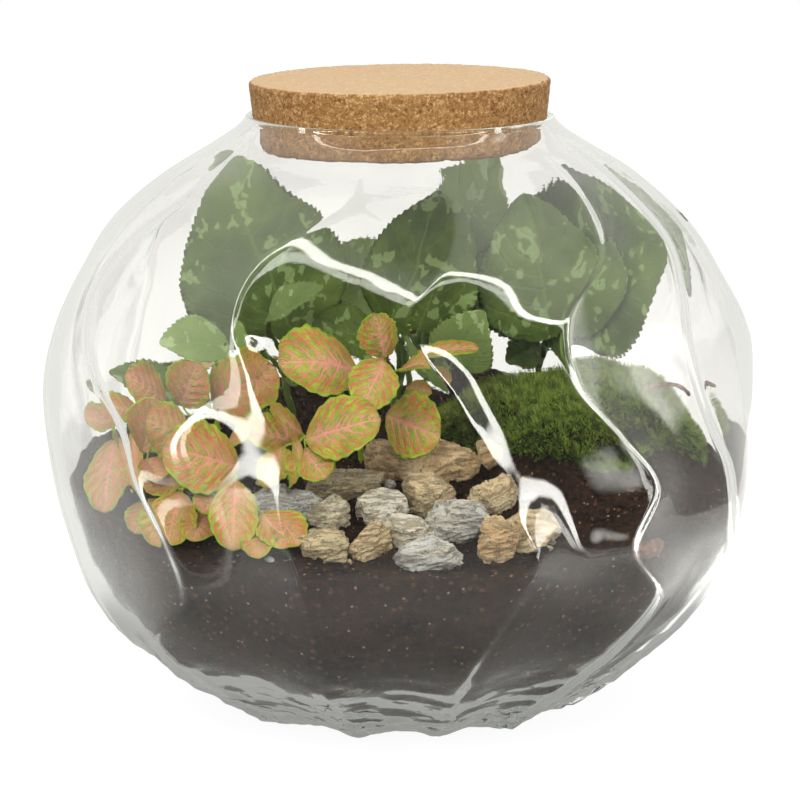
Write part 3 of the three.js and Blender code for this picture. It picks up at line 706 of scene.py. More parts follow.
@dataclass(frozen=True)
class StoneFinish(Finish):
    """Broken stone from grey through cream to brown, streaked and gritty. The tone is each chip's own."""

    tones: tuple[tuple[float, Colour], ...] = (
        (0.0, colour(186, 184, 178)), (0.3, colour(232, 222, 198)), (0.52, colour(186, 170, 134)),
        (0.78, colour(222, 194, 150)), (1.0, colour(190, 152, 104)))
    unevenness: float = 0.22
    strata: Point = (0.35, 1.2, 2.6)
    streak_tone: Colour = colour(104, 88, 64)
    dark_grain: Colour = colour(66, 54, 42)
    pale_grain: Colour = colour(236, 228, 208)
    fleck_tone: Colour = colour(48, 42, 36)

    def build(self) -> bpy.types.Material:
        """Builds the stone."""
        material, tree = self.start()
        place = tree.millimetres()
        patch = tree.math("SUBTRACT", self.mottled(tree, place, 0.11), 0.5)
        tone = tree.math("ADD", tree.own_tone(), tree.math("MULTIPLY", patch, self.unevenness))
        base = tree.ramp(tone, self.tones)
        streak = self.mottled(tree, tree.vector("MULTIPLY", place, self.strata), 0.28)
        base = tree.mix(tree.ease(streak, 0.35, 0.75, 0.0, 0.62), base, self.streak_tone)
        grain = tree.noise(place, 1.5, detail=4.0, rough=0.75)
        base = tree.mix(tree.ease(grain, 0.55, 0.7, 0.0, 0.4), base, self.dark_grain)
        base = tree.mix(tree.ease(grain, 0.3, 0.44, 0.55, 0.0), base, self.pale_grain)
        base = tree.over(base, self.flecked(tree, place, scale=1.0, share=0.12), 0.5, self.fleck_tone)
        height = tree.math("ADD", streak, tree.math("MULTIPLY", grain, -1.6))
        self.dull(tree, base, roughness=0.85, specular=0.3, relief=tree.bump(height, 0.8, 0.6))
        return material


@dataclass(frozen=True)
class BarkFinish(Finish):
    """Reddish-brown bark with darker and paler patches."""

    tones: tuple[tuple[float, Colour], ...] = (
        (0.0, colour(62, 34, 24)), (0.6, colour(108, 66, 46)), (1.0, colour(146, 100, 72)))

    def build(self) -> bpy.types.Material:
        """Builds the bark."""
        material, tree = self.start()
        share = self.mottled(tree, tree.millimetres(), 0.5)
        self.dull(tree, tree.ramp(share, self.tones), roughness=0.8, relief=tree.bump(share, 0.6, 0.4))
        return material


@dataclass(frozen=True)
class VeinedLeafFinish(Finish):
    """A small lime-green leaf: dusty pink along its rib, a net of pink to red veins, and a plain edge."""

    dark_lime: Colour = colour(104, 128, 22)
    pale_lime: Colour = colour(150, 166, 46)
    dusty: Colour = colour(208, 132, 118)
    red: Colour = colour(196, 80, 70)
    meshes_across: float = 7.0
    meshes_along: float = 12.0
    meshes_shift: float = 9.0

    def net(self, tree: Tree, place: Socket, climb: Socket) -> Socket:
        """Draws the net between the side veins, in meshes that lie along them.

        Args:
            tree: The material's tree.
            place: The place in millimetres.
            climb: How far along the blade a place lies, counted down its side veins.

        Returns:
            The net's mask.
        """
        sideways = tree.parts(tree.leaf_plan())["X"]
        straight = tree.add("ShaderNodeCombineXYZ", inputs={
            "X": tree.math("MULTIPLY", sideways, self.meshes_across),
            "Y": tree.math("MULTIPLY", climb, self.meshes_along),
            "Z": tree.math("MULTIPLY", tree.noise(place, 0.02), self.meshes_shift)})
        bent = tree.bent(straight, place, scale=0.45, reach=0.9)
        return tree.ease(tree.cells(bent, 1.0, "DISTANCE_TO_EDGE"), 0.04, 0.13, 1.0, 0.0)

    def build(self) -> bpy.types.Material:
        """Builds the veined leaf."""
        material, tree = self.start()
        place = tree.millimetres()
        veins = self.veined(tree, side_veins=6.0, slope=0.42, rib_width=0.06, vein_width=0.12)
        across, climb = veins["Across"], veins["Climb"]
        blade = tree.mix(self.mottled(tree, place, 0.12), self.dark_lime, self.pale_lime)
        pink = tree.mix(tree.ease(across, 0.1, 0.75), self.dusty, self.red)
        lines = tree.math("MULTIPLY", self.net(tree, place, climb), 0.82)
        lines = tree.math("MAXIMUM", tree.math("MAXIMUM", lines, veins["Veins"]), veins["Rib"])
        lines = tree.math("MULTIPLY", lines, tree.ease(across, 0.88, 0.97, 1.0, 0.0))
        inner = tree.math("MULTIPLY", tree.ease(across, 0.03, 0.32, 0.5, 0.0),
                          tree.ease(climb, 0.25, 0.75, 1.0, 0.0))
        flush = tree.math("MULTIPLY", tree.ease(across, 0.45, 0.95, 0.42, 0.0), tree.own_tone())
        blade = tree.mix(tree.math("MAXIMUM", inner, flush), blade, self.dusty)
        base = tree.over(blade, lines, 0.85, pink)
        height = tree.math("MULTIPLY", lines, -1.0)
        self.dull(tree, base, roughness=0.5, specular=0.35, relief=tree.bump(height, 0.7, 0.35))
        return material


@dataclass(frozen=True)
class BroadLeafFinish(Finish):
    """A dark green leaf with a paler rib, faint side veins and angular silvery patches."""

    dark: Colour = colour(52, 68, 20)
    light: Colour = colour(88, 104, 42)
    young: Colour = colour(154, 176, 106)
    patch_tone: Colour = colour(146, 168, 104)
    young_patch: Colour = colour(206, 216, 176)
    vein_tone: Colour = colour(96, 122, 64)
    rib_tone: Colour = colour(120, 142, 84)
    stretch: Point = (1.0, 1.0, 0.7)

    def patches(self, tree: Tree, place: Socket) -> Socket:
        """Marks the pale patches: some meshes of a broken mosaic."""
        bent = tree.bent(place, place, scale=0.5, reach=2.6)
        pick = tree.chance(tree.vector("MULTIPLY", bent, self.stretch), 0.36)
        region = tree.ease(tree.noise(place, 0.07, detail=2.0), 0.42, 0.66, 0.0, 0.36)
        return tree.math("LESS_THAN", pick, region)

    def build(self) -> bpy.types.Material:
        """Builds the broad leaf, which is paler where its tone is that of a young leaf."""
        material, tree = self.start()
        place = tree.millimetres()
        veins = self.veined(tree, side_veins=8.0, slope=0.35, rib_width=0.035, vein_width=0.1)
        youth = tree.own_tone()
        base = tree.mix(self.mottled(tree, place, 0.035), self.dark, self.light)
        base = tree.mix(youth, base, self.young)
        silver = tree.mix(youth, self.patch_tone, self.young_patch)
        base = tree.over(base, self.patches(tree, place), 0.5, silver)
        base = tree.over(base, veins["Veins"], 0.16, self.vein_tone)
        base = tree.over(base, veins["Rib"], 0.3, self.rib_tone)
        height = tree.math("SUBTRACT", tree.noise(place, 0.5), veins["Veins"])
        self.dull(tree, base, roughness=0.5, specular=0.35, relief=tree.bump(height, 0.4, 0.4))
        return material


# The folded glass and what fills it

@dataclass(frozen=True)
class Station:
    """One height of the glass: crest radius and height, fold depth, drift to the right, wall and crests."""

    radius: float
    height: float
    fold: float
    right: float
    wall: float
    crests: tuple[float, ...]


FOOT_CRESTS = (-88, -46, -14, 14, 38, 66)
NECK_CRESTS = (-88, -60, -12, 12, 50, 70)
STATIONS = (
    Station(0, 0, 0, 0, 7, FOOT_CRESTS),
    Station(30, 0, 0, 0, 7, FOOT_CRESTS),
    Station(46, 1.0, 1.6, 0, 6.6, FOOT_CRESTS),
    Station(62, 4.6, 2.7, 0, 6, FOOT_CRESTS),
    Station(77.6, 13.5, 3.4, -0.8, 5.2, FOOT_CRESTS),
    Station(92.2, 24, 3.8, -3, 4.6, (-86, -48, -14, 14, 41, 68)),
    Station(104.8, 38, 4.2, -1, 4.1, (-84, -50, -14.5, 14, 44, 71)),
    Station(115, 57, 4.5, 1.4, 3.8, (-76, -39, -16, 17, 47, 72)),
    Station(122.2, 77, 4.7, 3, 3.6, (-77, -40, -17.5, 19.5, 37, 63)),
    Station(124.2, 97, 4.7, 2, 3.6, (-80, -45, -18, 14, 41, 60)),
    Station(123.6, 115, 4.7, 0.6, 3.6, (-85, -48, -15.5, 11, 35, 55)),
    Station(119.6, 134, 4.5, 0.3, 3.6, (-92, -60, -22, 7, 28, 53)),
    Station(111.5, 153, 4, 0, 3.6, (-99, -66, -28, 1, 29, 57)),
    Station(99, 171, 3, 0, 3.6, (-95, -64, -26, 8.5, 42, 64)),
    Station(80.5, 187, 1.3, 0, 3.7, (-90, -57, -12, 12, 48, 67)),
    Station(64.5, 196.8, 0.3, 0, 3.9, NECK_CRESTS),
    Station(57.0, 201.5, 0, 0, 3.6, NECK_CRESTS),
    Station(53.1, 205.2, 0, 0, 2.5, NECK_CRESTS),
)


@dataclass(frozen=True)
class Ring:
    """One ring of a folded surface, ready to be laid out."""

    radius: float
    height: float
    out: Vector
    fold: float
    right: float
    crests: tuple[float, ...]


@dataclass
class GlassForm:
    """The shape of the glass: a smooth surface through the stations, sunk between its wandering crests."""

    folds: int = 12
    inner_relief: float = 0.75
    crest_rounding: float = 0.075

    def read(self, position: float, name: str) -> float:
        """Reads one measure at a place between stations."""
        return spline([getattr(station, name) for station in STATIONS], position)

    def outward(self, position: float) -> Vector:
        """Gives the profile's outward direction, as radius and height."""
        if position <= 0.5:
            return Vector((0, -1))
        before, after = position - 0.05, min(position + 0.05, len(STATIONS) - 1)
        along = Vector((self.read(after, "radius") - self.read(before, "radius"),
                        self.read(after, "height") - self.read(before, "height"))).normalized()
        return Vector((along.y, -along.x))

    def ring(self, position: float, clearance: float | None = None) -> Ring:
        """Gives a ring of the outside, or of the inside when a clearance is given.

        Args:
            position: The place between stations.
            clearance: How far inside the inner face the ring lies, or None for the outer face.

        Returns:
            The ring.
        """
        out = self.outward(position)
        inside = clearance is not None
        depth = self.read(position, "wall") + clearance if inside else 0.0
        height = max(self.read(position, "height"), 0.0) - out.y * depth
        crests = tuple(spline([station.crests[i] for station in STATIONS], position) for i in range(6))
        relief = self.inner_relief if inside else 1.0
        fold = max(self.read(position, "fold"), 0.0) * relief
        return Ring(max(self.read(position, "radius") - out.x * depth, 0.0), height, out, fold,
                    self.read(position, "right"), crests)

    def sunk(self, around: float) -> float:
        """How deep the surface lies between two crests: 0 on a crest, 1 midway."""
        across = abs(math.sin(math.pi * around))
        soft = self.crest_rounding
        return (math.hypot(across, soft) - soft) / (math.hypot(1, soft) - soft)

    def angle(self, around: float, crests: tuple[float, ...]) -> float:
        """The angle of a place counted in folds, in radians from the front and growing to the right."""
        fold = math.floor(around)
        half = self.folds // 2
        first = crests[fold % half] + 180 * (fold // half)
        following = crests[(fold + 1) % half] + 180 * ((fold + 1) // half)
        return math.radians(first + (around - fold) * (following - first))

    def lay(self, ring: Ring, around: float) -> Vector:
        """Gives the point of a ring at a place counted in folds."""
        depth = ring.fold * self.sunk(around)
        radius = max(ring.radius - ring.out.x * depth, 0.0)
        angle = self.angle(around, ring.crests)
        return Vector((ring.right + radius * math.sin(angle), -radius * math.cos(angle),
                       ring.height - ring.out.y * depth))


@dataclass(frozen=True)
class Dimple:
    """A soft hollow in the blown wall, or a swelling where its depth is below zero."""

    place: Point
    reach: float
    depth: float

    def at(self, point: Vector) -> float:
        """How far the wall is pushed in at a point."""
        return self.depth * math.exp(-(point - Vector(self.place)).length_squared / (2 * self.reach ** 2))


DIMPLES = (
    Dimple((-68, -95, 112), 9, -2.2),
    Dimple((-44, -101, 150), 5, 1.8),
    Dimple((56, -75, 174), 5.5, 2.4),
    Dimple((17, -119, 122), 12, -1.0),
    Dimple((-4, -110, 153), 3, 1.2),
    Dimple((56, -105, 98), 10, 1.0),
    Dimple((26, -112, 128), 16, 1.5),
    Dimple((-78, -78, 62), 15, -1.8),
)


@dataclass
class GlassBowl:
    """The blown bowl: outer face, rounded lip and inner face in one closed shell."""

    form: GlassForm
    columns_per_fold: int = 20
    rings_per_station: int = 7
    crowding: float = 0.8
    lip_steps: int = 10
    lip_rise: float = 1.5
    ripple: float = 0.1
    ripple_size: float = 9.0
    base_ripple: float = 1.3
    base_height: float = 48.0
    girth: float = 0.997
    inner_shift: Point = (31.0, 7.0, 3.0)
    streak_size: Point = (7.0, 7.0, 1.8)
    calm_foot: Pair = (0.5, 4.0)
    calm_neck: Pair = (190.0, 10.0)
    middle: float = 90.0
    flatness: float = 0.5
    seed: int = 3

    def around(self, column: int) -> float:
        """Places a column, counted in folds, with the columns crowded towards the crests."""
        share = column / self.columns_per_fold
        return share - self.crowding / math.tau * math.sin(math.tau * share)

    def lip(self) -> list[Ring]:
        """The rings of the rounded lip, from outside to inside."""
        last = STATIONS[-1]
        middle, half = last.radius - last.wall / 2, last.wall / 2
        rings = []
        for step in range(1, self.lip_steps):
            angle = math.pi * step / self.lip_steps
            rings.append(Ring(middle + half * math.cos(angle), last.height + self.lip_rise * math.sin(angle),
                              Vector((0, 1)), 0.0, last.right, last.crests))
        return rings

    def ripples(self, point: Vector, inside: bool) -> Vector:
        """Gives the small unevenness of the blown surface at a point."""
        shift = Vector(self.inner_shift) if inside else Vector()
        low = 1 - smooth(point.z / self.base_height)
        place = point / self.ripple_size + shift
        streak = Vector(a / b for a, b in zip(point, self.streak_size)) + shift
        return noise.noise_vector(place) * self.ripple + noise.noise_vector(streak) * self.base_ripple * low

    def build(self, material: bpy.types.Material) -> bpy.types.Object:
        """Builds the bowl.

        Args:
            material: The glass.

        Returns:
            The bowl, standing for its solid.
        """
        noise.seed_set(self.seed)
        count = (len(STATIONS) - 1) * self.rings_per_station
        places = [index / self.rings_per_station for index in range(count + 1)]
        outer = [self.form.ring(place) for place in places]
        inner = [self.form.ring(place, 0.0) for place in reversed(places)]
        rings = [*outer, *self.lip(), *inner]
        columns = self.form.folds * self.columns_per_fold
        profile = [(ring.radius, index) for index, ring in enumerate(rings)]
        mesh, layer = turned_profile(profile, columns)
        step = math.tau / columns
        for vert in mesh.verts:
            column = round(math.atan2(vert.co.y, vert.co.x) / step) % columns
            index = vert[layer]
            point = self.form.lay(rings[index], self.around(column))
            calm = slope(point.z, self.calm_foot) * (1 - slope(point.z, self.calm_neck))
            outwards = Vector((point.x, point.y, self.flatness * (point.z - self.middle))).normalized()
            pushed = sum(dimple.at(point) for dimple in DIMPLES)
            point += self.ripples(point, index > len(outer)) * calm - outwards * pushed
            vert.co = Vector((point.x * self.girth, point.y * self.girth, max(point.z, 0.0)))
        closed(mesh)
        return piece("glass_vessel", mesh, material, ["glass_bowl"])


@dataclass
class CorkPlug:
    """The pressed cork plug: slightly tapered, a little crooked, with a pitted granular surface."""

    top: float = 218.9
    bottom: float = 194.0
    top_radius: float = 51.4
    bottom_radius: float = 48.9
    edge: float = 1.0
    tilt: float = 0.7
    pivot: float = 206.0
    columns: int = 300
    spacing: float = 1.1
    grain_scale: float = 0.55
    fine_scale: float = 1.3
    relief: float = 0.22
    pit_scale: float = 0.42
    pit_shift: Point = (9.0, 4.0, 2.0)
    pit_edge: float = 0.42
    pit_slope: float = 0.3
    pit_depth: float = 0.7
    sunk: float = 0.12

    def profile(self) -> list[Pair]:
        """Lists radius and height from the middle of the underside round to the middle of the top."""
        corners = [
            (0, self.bottom), (self.bottom_radius - self.edge, self.bottom),
            (self.bottom_radius, self.bottom + self.edge), (self.top_radius, self.top - self.edge),
            (self.top_radius - self.edge, self.top), (0, self.top)]
        points = [corners[0]]
        for start, end in zip(corners, corners[1:]):
            steps = max(round(math.dist(start, end) / self.spacing), 2)
            for step in range(1, steps + 1):
                points.append(tuple(a + (b - a) * step / steps for a, b in zip(start, end)))
        return points

    def build(self, material: bpy.types.Material) -> bpy.types.Object:
        """Builds the plug, standing for its solid."""
        mesh, _ = turned_profile(self.profile(), self.columns)
        closed(mesh)
        mesh.normal_update()
        moves = []
        for vert in mesh.verts:
            grain = noise.noise(vert.co * self.grain_scale) + 0.5 * noise.noise(vert.co * self.fine_scale)
            pit = noise.noise(vert.co * self.pit_scale + Vector(self.pit_shift)) - self.pit_edge
            pit = max(pit, 0) * self.pit_depth / self.pit_slope
            moves.append(vert.normal * (grain * self.relief - pit - self.sunk))
        for vert, move in zip(mesh.verts, moves):
            vert.co += move
        turn = Matrix.Rotation(math.radians(-self.tilt), 4, "Y")
        bmesh.ops.rotate(mesh, verts=mesh.verts, cent=(0, 0, self.pivot), matrix=turn)
        return piece("cork_plug", mesh, material, ["cork_stopper"])


@dataclass
class Terrain:
    """The heights of the soil and of the moss on it."""

    level: float = 94.0
    fall_front: float = 22.5
    front_span: Pair = (20.0, 92.0)
    fall_left: float = 9.0
    left_span: Pair = (35.0, 70.0)
    rise_right: float = 5.0
    right_span: Pair = (30.0, 80.0)
    fall_wall: float = 11.0
    wall_span: Pair = (84.0, 26.0)
    moss_x: float = 61.0
    moss_y: float = -4.0
    moss_half_width: float = 50.0
    moss_half_depth: float = 38.0
    moss_rise: float = 20.5
    moss_fullness: float = 2.4

    def soil(self, x: float, y: float) -> float:
        """The height of the soil at a place."""
        front = self.fall_front * slope(-y, self.front_span)
        left = self.fall_left * slope(-x, self.left_span)
        right = self.rise_right * slope(x, self.right_span) - self.fall_wall * slope(x, self.wall_span)
        lumps = 0.9 * math.sin(x / 9 + 1.3) * math.sin(y / 11 - 0.4) + 0.5 * math.sin((x + y) / 5.5)
        return self.level - front - left + right + lumps

    def moss_share(self, x: float, y: float) -> float:
        """How high the cushion stands at a place, from 0 at its edge to 1 in its middle."""
        across = (x - self.moss_x) / self.moss_half_width
        along = (y - self.moss_y) / self.moss_half_depth
        return math.sqrt(max(1 - math.hypot(across, along) ** self.moss_fullness, 0.0))

    def moss(self, x: float, y: float) -> float:
        """The height of the moss at a place."""
        share = self.moss_share(x, y)
        tufts = 0.9 * math.sin(x / 3.1) * math.sin(y / 2.7 + 0.8) + 0.8 * math.sin((x - y) / 6.2)
        return self.soil(x, y) + self.moss_rise * share + tufts * smooth(share * 2)


@dataclass
class Scatter:
    """Many small copies of a few clusters, set on a surface and turned to it."""

    seed: int

    def place(self, mesh: bmesh.types.BMesh, clusters: Sequence[bpy.types.Mesh], spots: Spots) -> None:
        """Adds a cluster at each spot.

        Args:
            mesh: The mesh that the copies are added to.
            clusters: The meshes to choose from.
            spots: Place, upright direction and scale of each copy.
        """
        random = Random(self.seed)
        for spot, up, scale in spots:
            cluster = random.choice(clusters)
            spin = Matrix.Rotation(random.uniform(0, math.tau), 3, "Z").to_quaternion()
            turn = up.to_track_quat("Z", "Y") @ spin
            matrix = Matrix.LocRotScale(spot, turn, Vector((scale,) * 3))
            cluster.transform(matrix)
            mesh.from_mesh(cluster)
            cluster.transform(matrix.inverted())


def plain_mesh(name: str, mesh: bmesh.types.BMesh) -> bpy.types.Mesh:
    """Turns a bmesh into a mesh that is only a pattern for copies."""
    data = bpy.data.meshes.new(name)
    mesh.to_mesh(data)
    mesh.free()
    return data


@dataclass
class Soil:
    """The soil: a body that follows the inside of the glass, and loose crumbs on its top."""

    form: GlassForm
    terrain: Terrain
    columns_per_fold: int = 18
    wall_rings: int = 70
    top_rings: int = 46
    clearance: float = 0.8
    roughness: float = 0.9
    skin: float = 0.35
    top_range: Pair = (3.0, 12.0)
    halvings: int = 18
    crumb_count: int = 2600
    crumb_patterns: int = 6
    crumb_field: float = 112.0
    crumb_wall: float = 107.0
    crumb_size: Pair = (0.5, 2.0)
    crumb_rarity: float = 2.5
    crumb_tilt: float = 0.6
    crumb_rise: float = 0.35
    bark_hollow: Point = (80.0, -83.0, 75.0)
    hollow_reach: float = 8.0
    hollow_depth: float = 7.0
    seed: int = 5

    def top_position(self, around: float) -> float:
        """Finds where the inner face of the glass meets the soil's surface."""
        low, high = self.top_range
        for _ in range(self.halvings):
            middle = (low + high) / 2
            point = self.form.lay(self.form.ring(middle, self.clearance), around)
            if point.z < self.terrain.soil(point.x, point.y):
                low = middle
            else:
                high = middle
        return low

    def build(self, material: bpy.types.Material) -> bpy.types.Object:
        """Builds the body of soil, standing for its solid."""
        columns = self.form.folds * self.columns_per_fold
        rings = self.wall_rings + self.top_rings
        profile = [(1.0 if 0 < index < rings else 0.0, index) for index in range(rings + 1)]
        mesh, layer = turned_profile(profile, columns)
        tops = [self.top_position(column / self.columns_per_fold) for column in range(columns)]
        step = math.tau / columns
        for vert in mesh.verts:
            column = round(math.atan2(vert.co.y, vert.co.x) / step) % columns
            index = vert[layer]
            around = column / self.columns_per_fold
            share = min(index / self.wall_rings, 1.0)
            point = self.form.lay(self.form.ring(tops[column] * share, self.clearance), around)
            if index > self.wall_rings:
                inward = 1 - (index - self.wall_rings) / self.top_rings
                x, y = point.x * inward, point.y * inward
                point = Vector((x, y, self.terrain.soil(x, y)))
                point.z += self.roughness * (noise.noise(point * 0.45) + 0.6 * noise.noise(point * 1.1))
            else:
                inwards = Vector((point.x, point.y, 0)).normalized()
                point -= inwards * self.skin * (1 + noise.noise(point * 0.5)) * smooth(index / 8)
                away = (point - Vector(self.bark_hollow)).length / self.hollow_reach
                point -= inwards * self.hollow_depth * math.exp(-away ** 4)
            vert.co = point
        closed(mesh)
        return piece("potting_soil", mesh, material, ["soil"])

    def build_crumbs(self, material: bpy.types.Material) -> bpy.types.Object:
        """Builds the loose crumbs that lie on the soil."""
        random = Random(self.seed)
        patterns = []
        for number in range(self.crumb_patterns):
            mesh = bmesh.new()
            bmesh.ops.create_icosphere(mesh, subdivisions=1, radius=1)
            for vert in mesh.verts:
                vert.co *= 0.75 + 0.5 * random.random()
                vert.co.z *= 0.7
            patterns.append(plain_mesh(f"crumb pattern {number}", mesh))
        spots = []
        field, lean = self.crumb_field, self.crumb_tilt
        smallest, largest = self.crumb_size
        while len(spots) < self.crumb_count:
            x, y = random.uniform(-field, field), random.uniform(-field, field)
            if math.hypot(x, y) > self.crumb_wall:
                continue
            size = smallest + (largest - smallest) * random.random() ** self.crumb_rarity
            tilt = Vector((random.uniform(-lean, lean), random.uniform(-lean, lean), 1)).normalized()
            spots.append((Vector((x, y, self.terrain.soil(x, y) + size * self.crumb_rise)), tilt, size))
        mesh = bmesh.new()
        Scatter(self.seed).place(mesh, patterns, spots)
        return piece("soil_crumbs", mesh, material, flat=True)


@dataclass
class MossCushion:
    """The moss: a mound set with tufts, whose fine shoots lean out to all sides."""

    terrain: Terrain
    rings: int = 34
    columns: int = 110
    tuft_radius: float = 1.5
    tuft_gap: float = 2.75
    tuft_patterns: int = 8
    tuft_scale: Pair = (0.75, 1.25)
    tuft_rise: Pair = (-1.2, 0.3)
    tuft_shift: float = 0.02
    shoots_per_tuft: int = 42
    shoot_radius: float = 0.33
    shoot_length: Pair = (2.4, 5.0)
    spread: float = 0.95
    mound_share: float = 0.92
    mound_wall: float = 111.0
    mound_sunk: float = 1.4
    wall: float = 107.0
    field: float = 2.2
    steepest: float = 1.2
    rim_tufts: int = 96
    rim_levels: Pair = (0.2, 0.6)
    rim_reach: Pair = (0.9, 0.95)
    rim_scale: Pair = (0.75, 1.2)
    rim_rise: Pair = (-1.0, 1.0)
    rim_lean: float = 0.5
    seed: int = 12

    def edge(self, angle: float) -> float:
        """How far the cushion's uneven edge reaches, as a share of its size."""
        return 1 + 0.06 * math.sin(3 * angle + 0.6) + 0.04 * math.sin(7 * angle)

    def build(self, material: bpy.types.Material) -> bpy.types.Object:
        """Builds the mound under the shoots, standing for its solid."""
        profile = [(index / self.rings, 1.0) for index in range(self.rings + 1)] + [(1.0, 0.0), (0.0, 0.0)]
        mesh, _ = turned_profile(profile, self.columns)
        bottom = self.terrain.level - self.terrain.fall_front
        for vert in mesh.verts:
            angle = math.atan2(vert.co.x, vert.co.y)
            reach = self.edge(angle) * self.mound_share
            x = self.terrain.moss_x + self.terrain.moss_half_width * reach * vert.co.x
            y = self.terrain.moss_y - self.terrain.moss_half_depth * reach * vert.co.y
            radius = math.hypot(x, y)
            if radius > self.mound_wall:
                x, y = x * self.mound_wall / radius, y * self.mound_wall / radius
            top = self.terrain.moss(x, y) - self.mound_sunk
            vert.co = Vector((x, y, top if vert.co.z > 0.5 else bottom))
        closed(mesh)
        return piece("moss_cushion", mesh, material, ["moss_mound"])

    def tuft(self, random: Random, number: int) -> bpy.types.Mesh:
        """Makes one tuft of shoots, each with its own tint on the map."""
        mesh = bmesh.new()
        plan = mesh.loops.layers.uv.new("plan")
        for _ in range(self.shoots_per_tuft):
            length = random.uniform(*self.shoot_length)
            heading = random.uniform(0, math.tau)
            tilt = self.spread * math.sqrt(random.random())
            side = Vector((math.cos(heading), math.sin(heading), 0))
            foot = side * self.tuft_radius * random.random() - Vector((0, 0, 0.9))
            lean = (side * math.sin(tilt) + Vector((0, 0, math.cos(tilt)))).normalized()
            matrix = Matrix.LocRotScale(foot + lean * length / 2, lean.to_track_quat("Z", "Y"), None)
            made = bmesh.ops.create_cone(mesh, cap_ends=False, cap_tris=False, segments=3, matrix=matrix,
                                         radius1=self.shoot_radius, radius2=0, depth=length)
            tint = random.random()
            low = min(vert.co.dot(lean) for vert in made["verts"])
            high = max(vert.co.dot(lean) for vert in made["verts"])
            for face in {face for vert in made["verts"] for face in vert.link_faces}:
                for loop in face.loops:
                    loop[plan].uv = (tint, (loop.vert.co.dot(lean) - low) / (high - low))
        bmesh.ops.holes_fill(mesh, edges=[edge for edge in mesh.edges if edge.is_boundary], sides=3)
        closed(mesh)
        return plain_mesh(f"moss tuft {number}", mesh)

    def rim_spots(self, random: Random) -> Spots:
        """Lists the tufts that lean outwards round the cushion's steep rim.

        Args:
            random: The source of their unevenness.

        Returns:
            Place, upright direction and scale of each tuft.
        """
        terrain = self.terrain
        spots = []
        for index in range(self.rim_tufts):
            angle = math.tau * index / self.rim_tufts
            for level in self.rim_levels:
                reach = self.edge(angle) * random.uniform(*self.rim_reach)
                outward = Vector((math.sin(angle), -math.cos(angle), self.rim_lean)).normalized()
                x = terrain.moss_x + terrain.moss_half_width * reach * math.sin(angle)
                y = terrain.moss_y - terrain.moss_half_depth * reach * math.cos(angle)
                scale, rise = random.uniform(*self.rim_scale), random.uniform(*self.rim_rise)
                if math.hypot(x, y) > self.wall:
                    continue
                ground = terrain.soil(x, y)
                height = ground + level * (terrain.moss(x, y) - ground) + rise
                spots.append((Vector((x, y, height)), outward, scale))
        return spots

    def upright(self, x: float, y: float) -> Vector:
        """Gives the cushion's outward direction at a place, never too far from upright."""
        moss, limit = self.terrain.moss, self.steepest
        slope_x = (moss(x + 1, y) - moss(x - 1, y)) / 2
        slope_y = (moss(x, y + 1) - moss(x, y - 1)) / 2
        return Vector((-min(max(slope_x, -limit), limit), -min(max(slope_y, -limit), limit), 1)).normalized()

    def build_shoots(self, material: bpy.types.Material) -> bpy.types.Object:
        """Builds the tufts all over the cushion."""
        random = Random(self.seed)
        tufts = [self.tuft(random, number) for number in range(self.tuft_patterns)]
        spots = []
        terrain, shift = self.terrain, self.tuft_shift
        steps_x = round(self.field * terrain.moss_half_width / self.tuft_gap)
        steps_y = round(self.field * terrain.moss_half_depth / self.tuft_gap)
        for row in range(steps_y + 1):
            for column in range(steps_x + 1):
                across = self.field * (column / steps_x - 0.5) + random.uniform(-shift, shift)
                along = self.field * (row / steps_y - 0.5) + random.uniform(-shift, shift)
                x = terrain.moss_x + terrain.moss_half_width * across
                y = terrain.moss_y - terrain.moss_half_depth * along
                scale, rise = random.uniform(*self.tuft_scale), random.uniform(*self.tuft_rise)
                if math.hypot(across, along) > self.edge(math.atan2(across, along)) * 0.99:
                    continue
                if math.hypot(x, y) > self.wall:
                    continue
                spots.append((Vector((x, y, terrain.moss(x, y) + rise)), self.upright(x, y), scale))
        spots += self.rim_spots(random)
        mesh = bmesh.new()
        mesh.loops.layers.uv.new("plan")
        Scatter(self.seed).place(mesh, tufts, spots)
        return piece("moss_shoots", mesh, material)


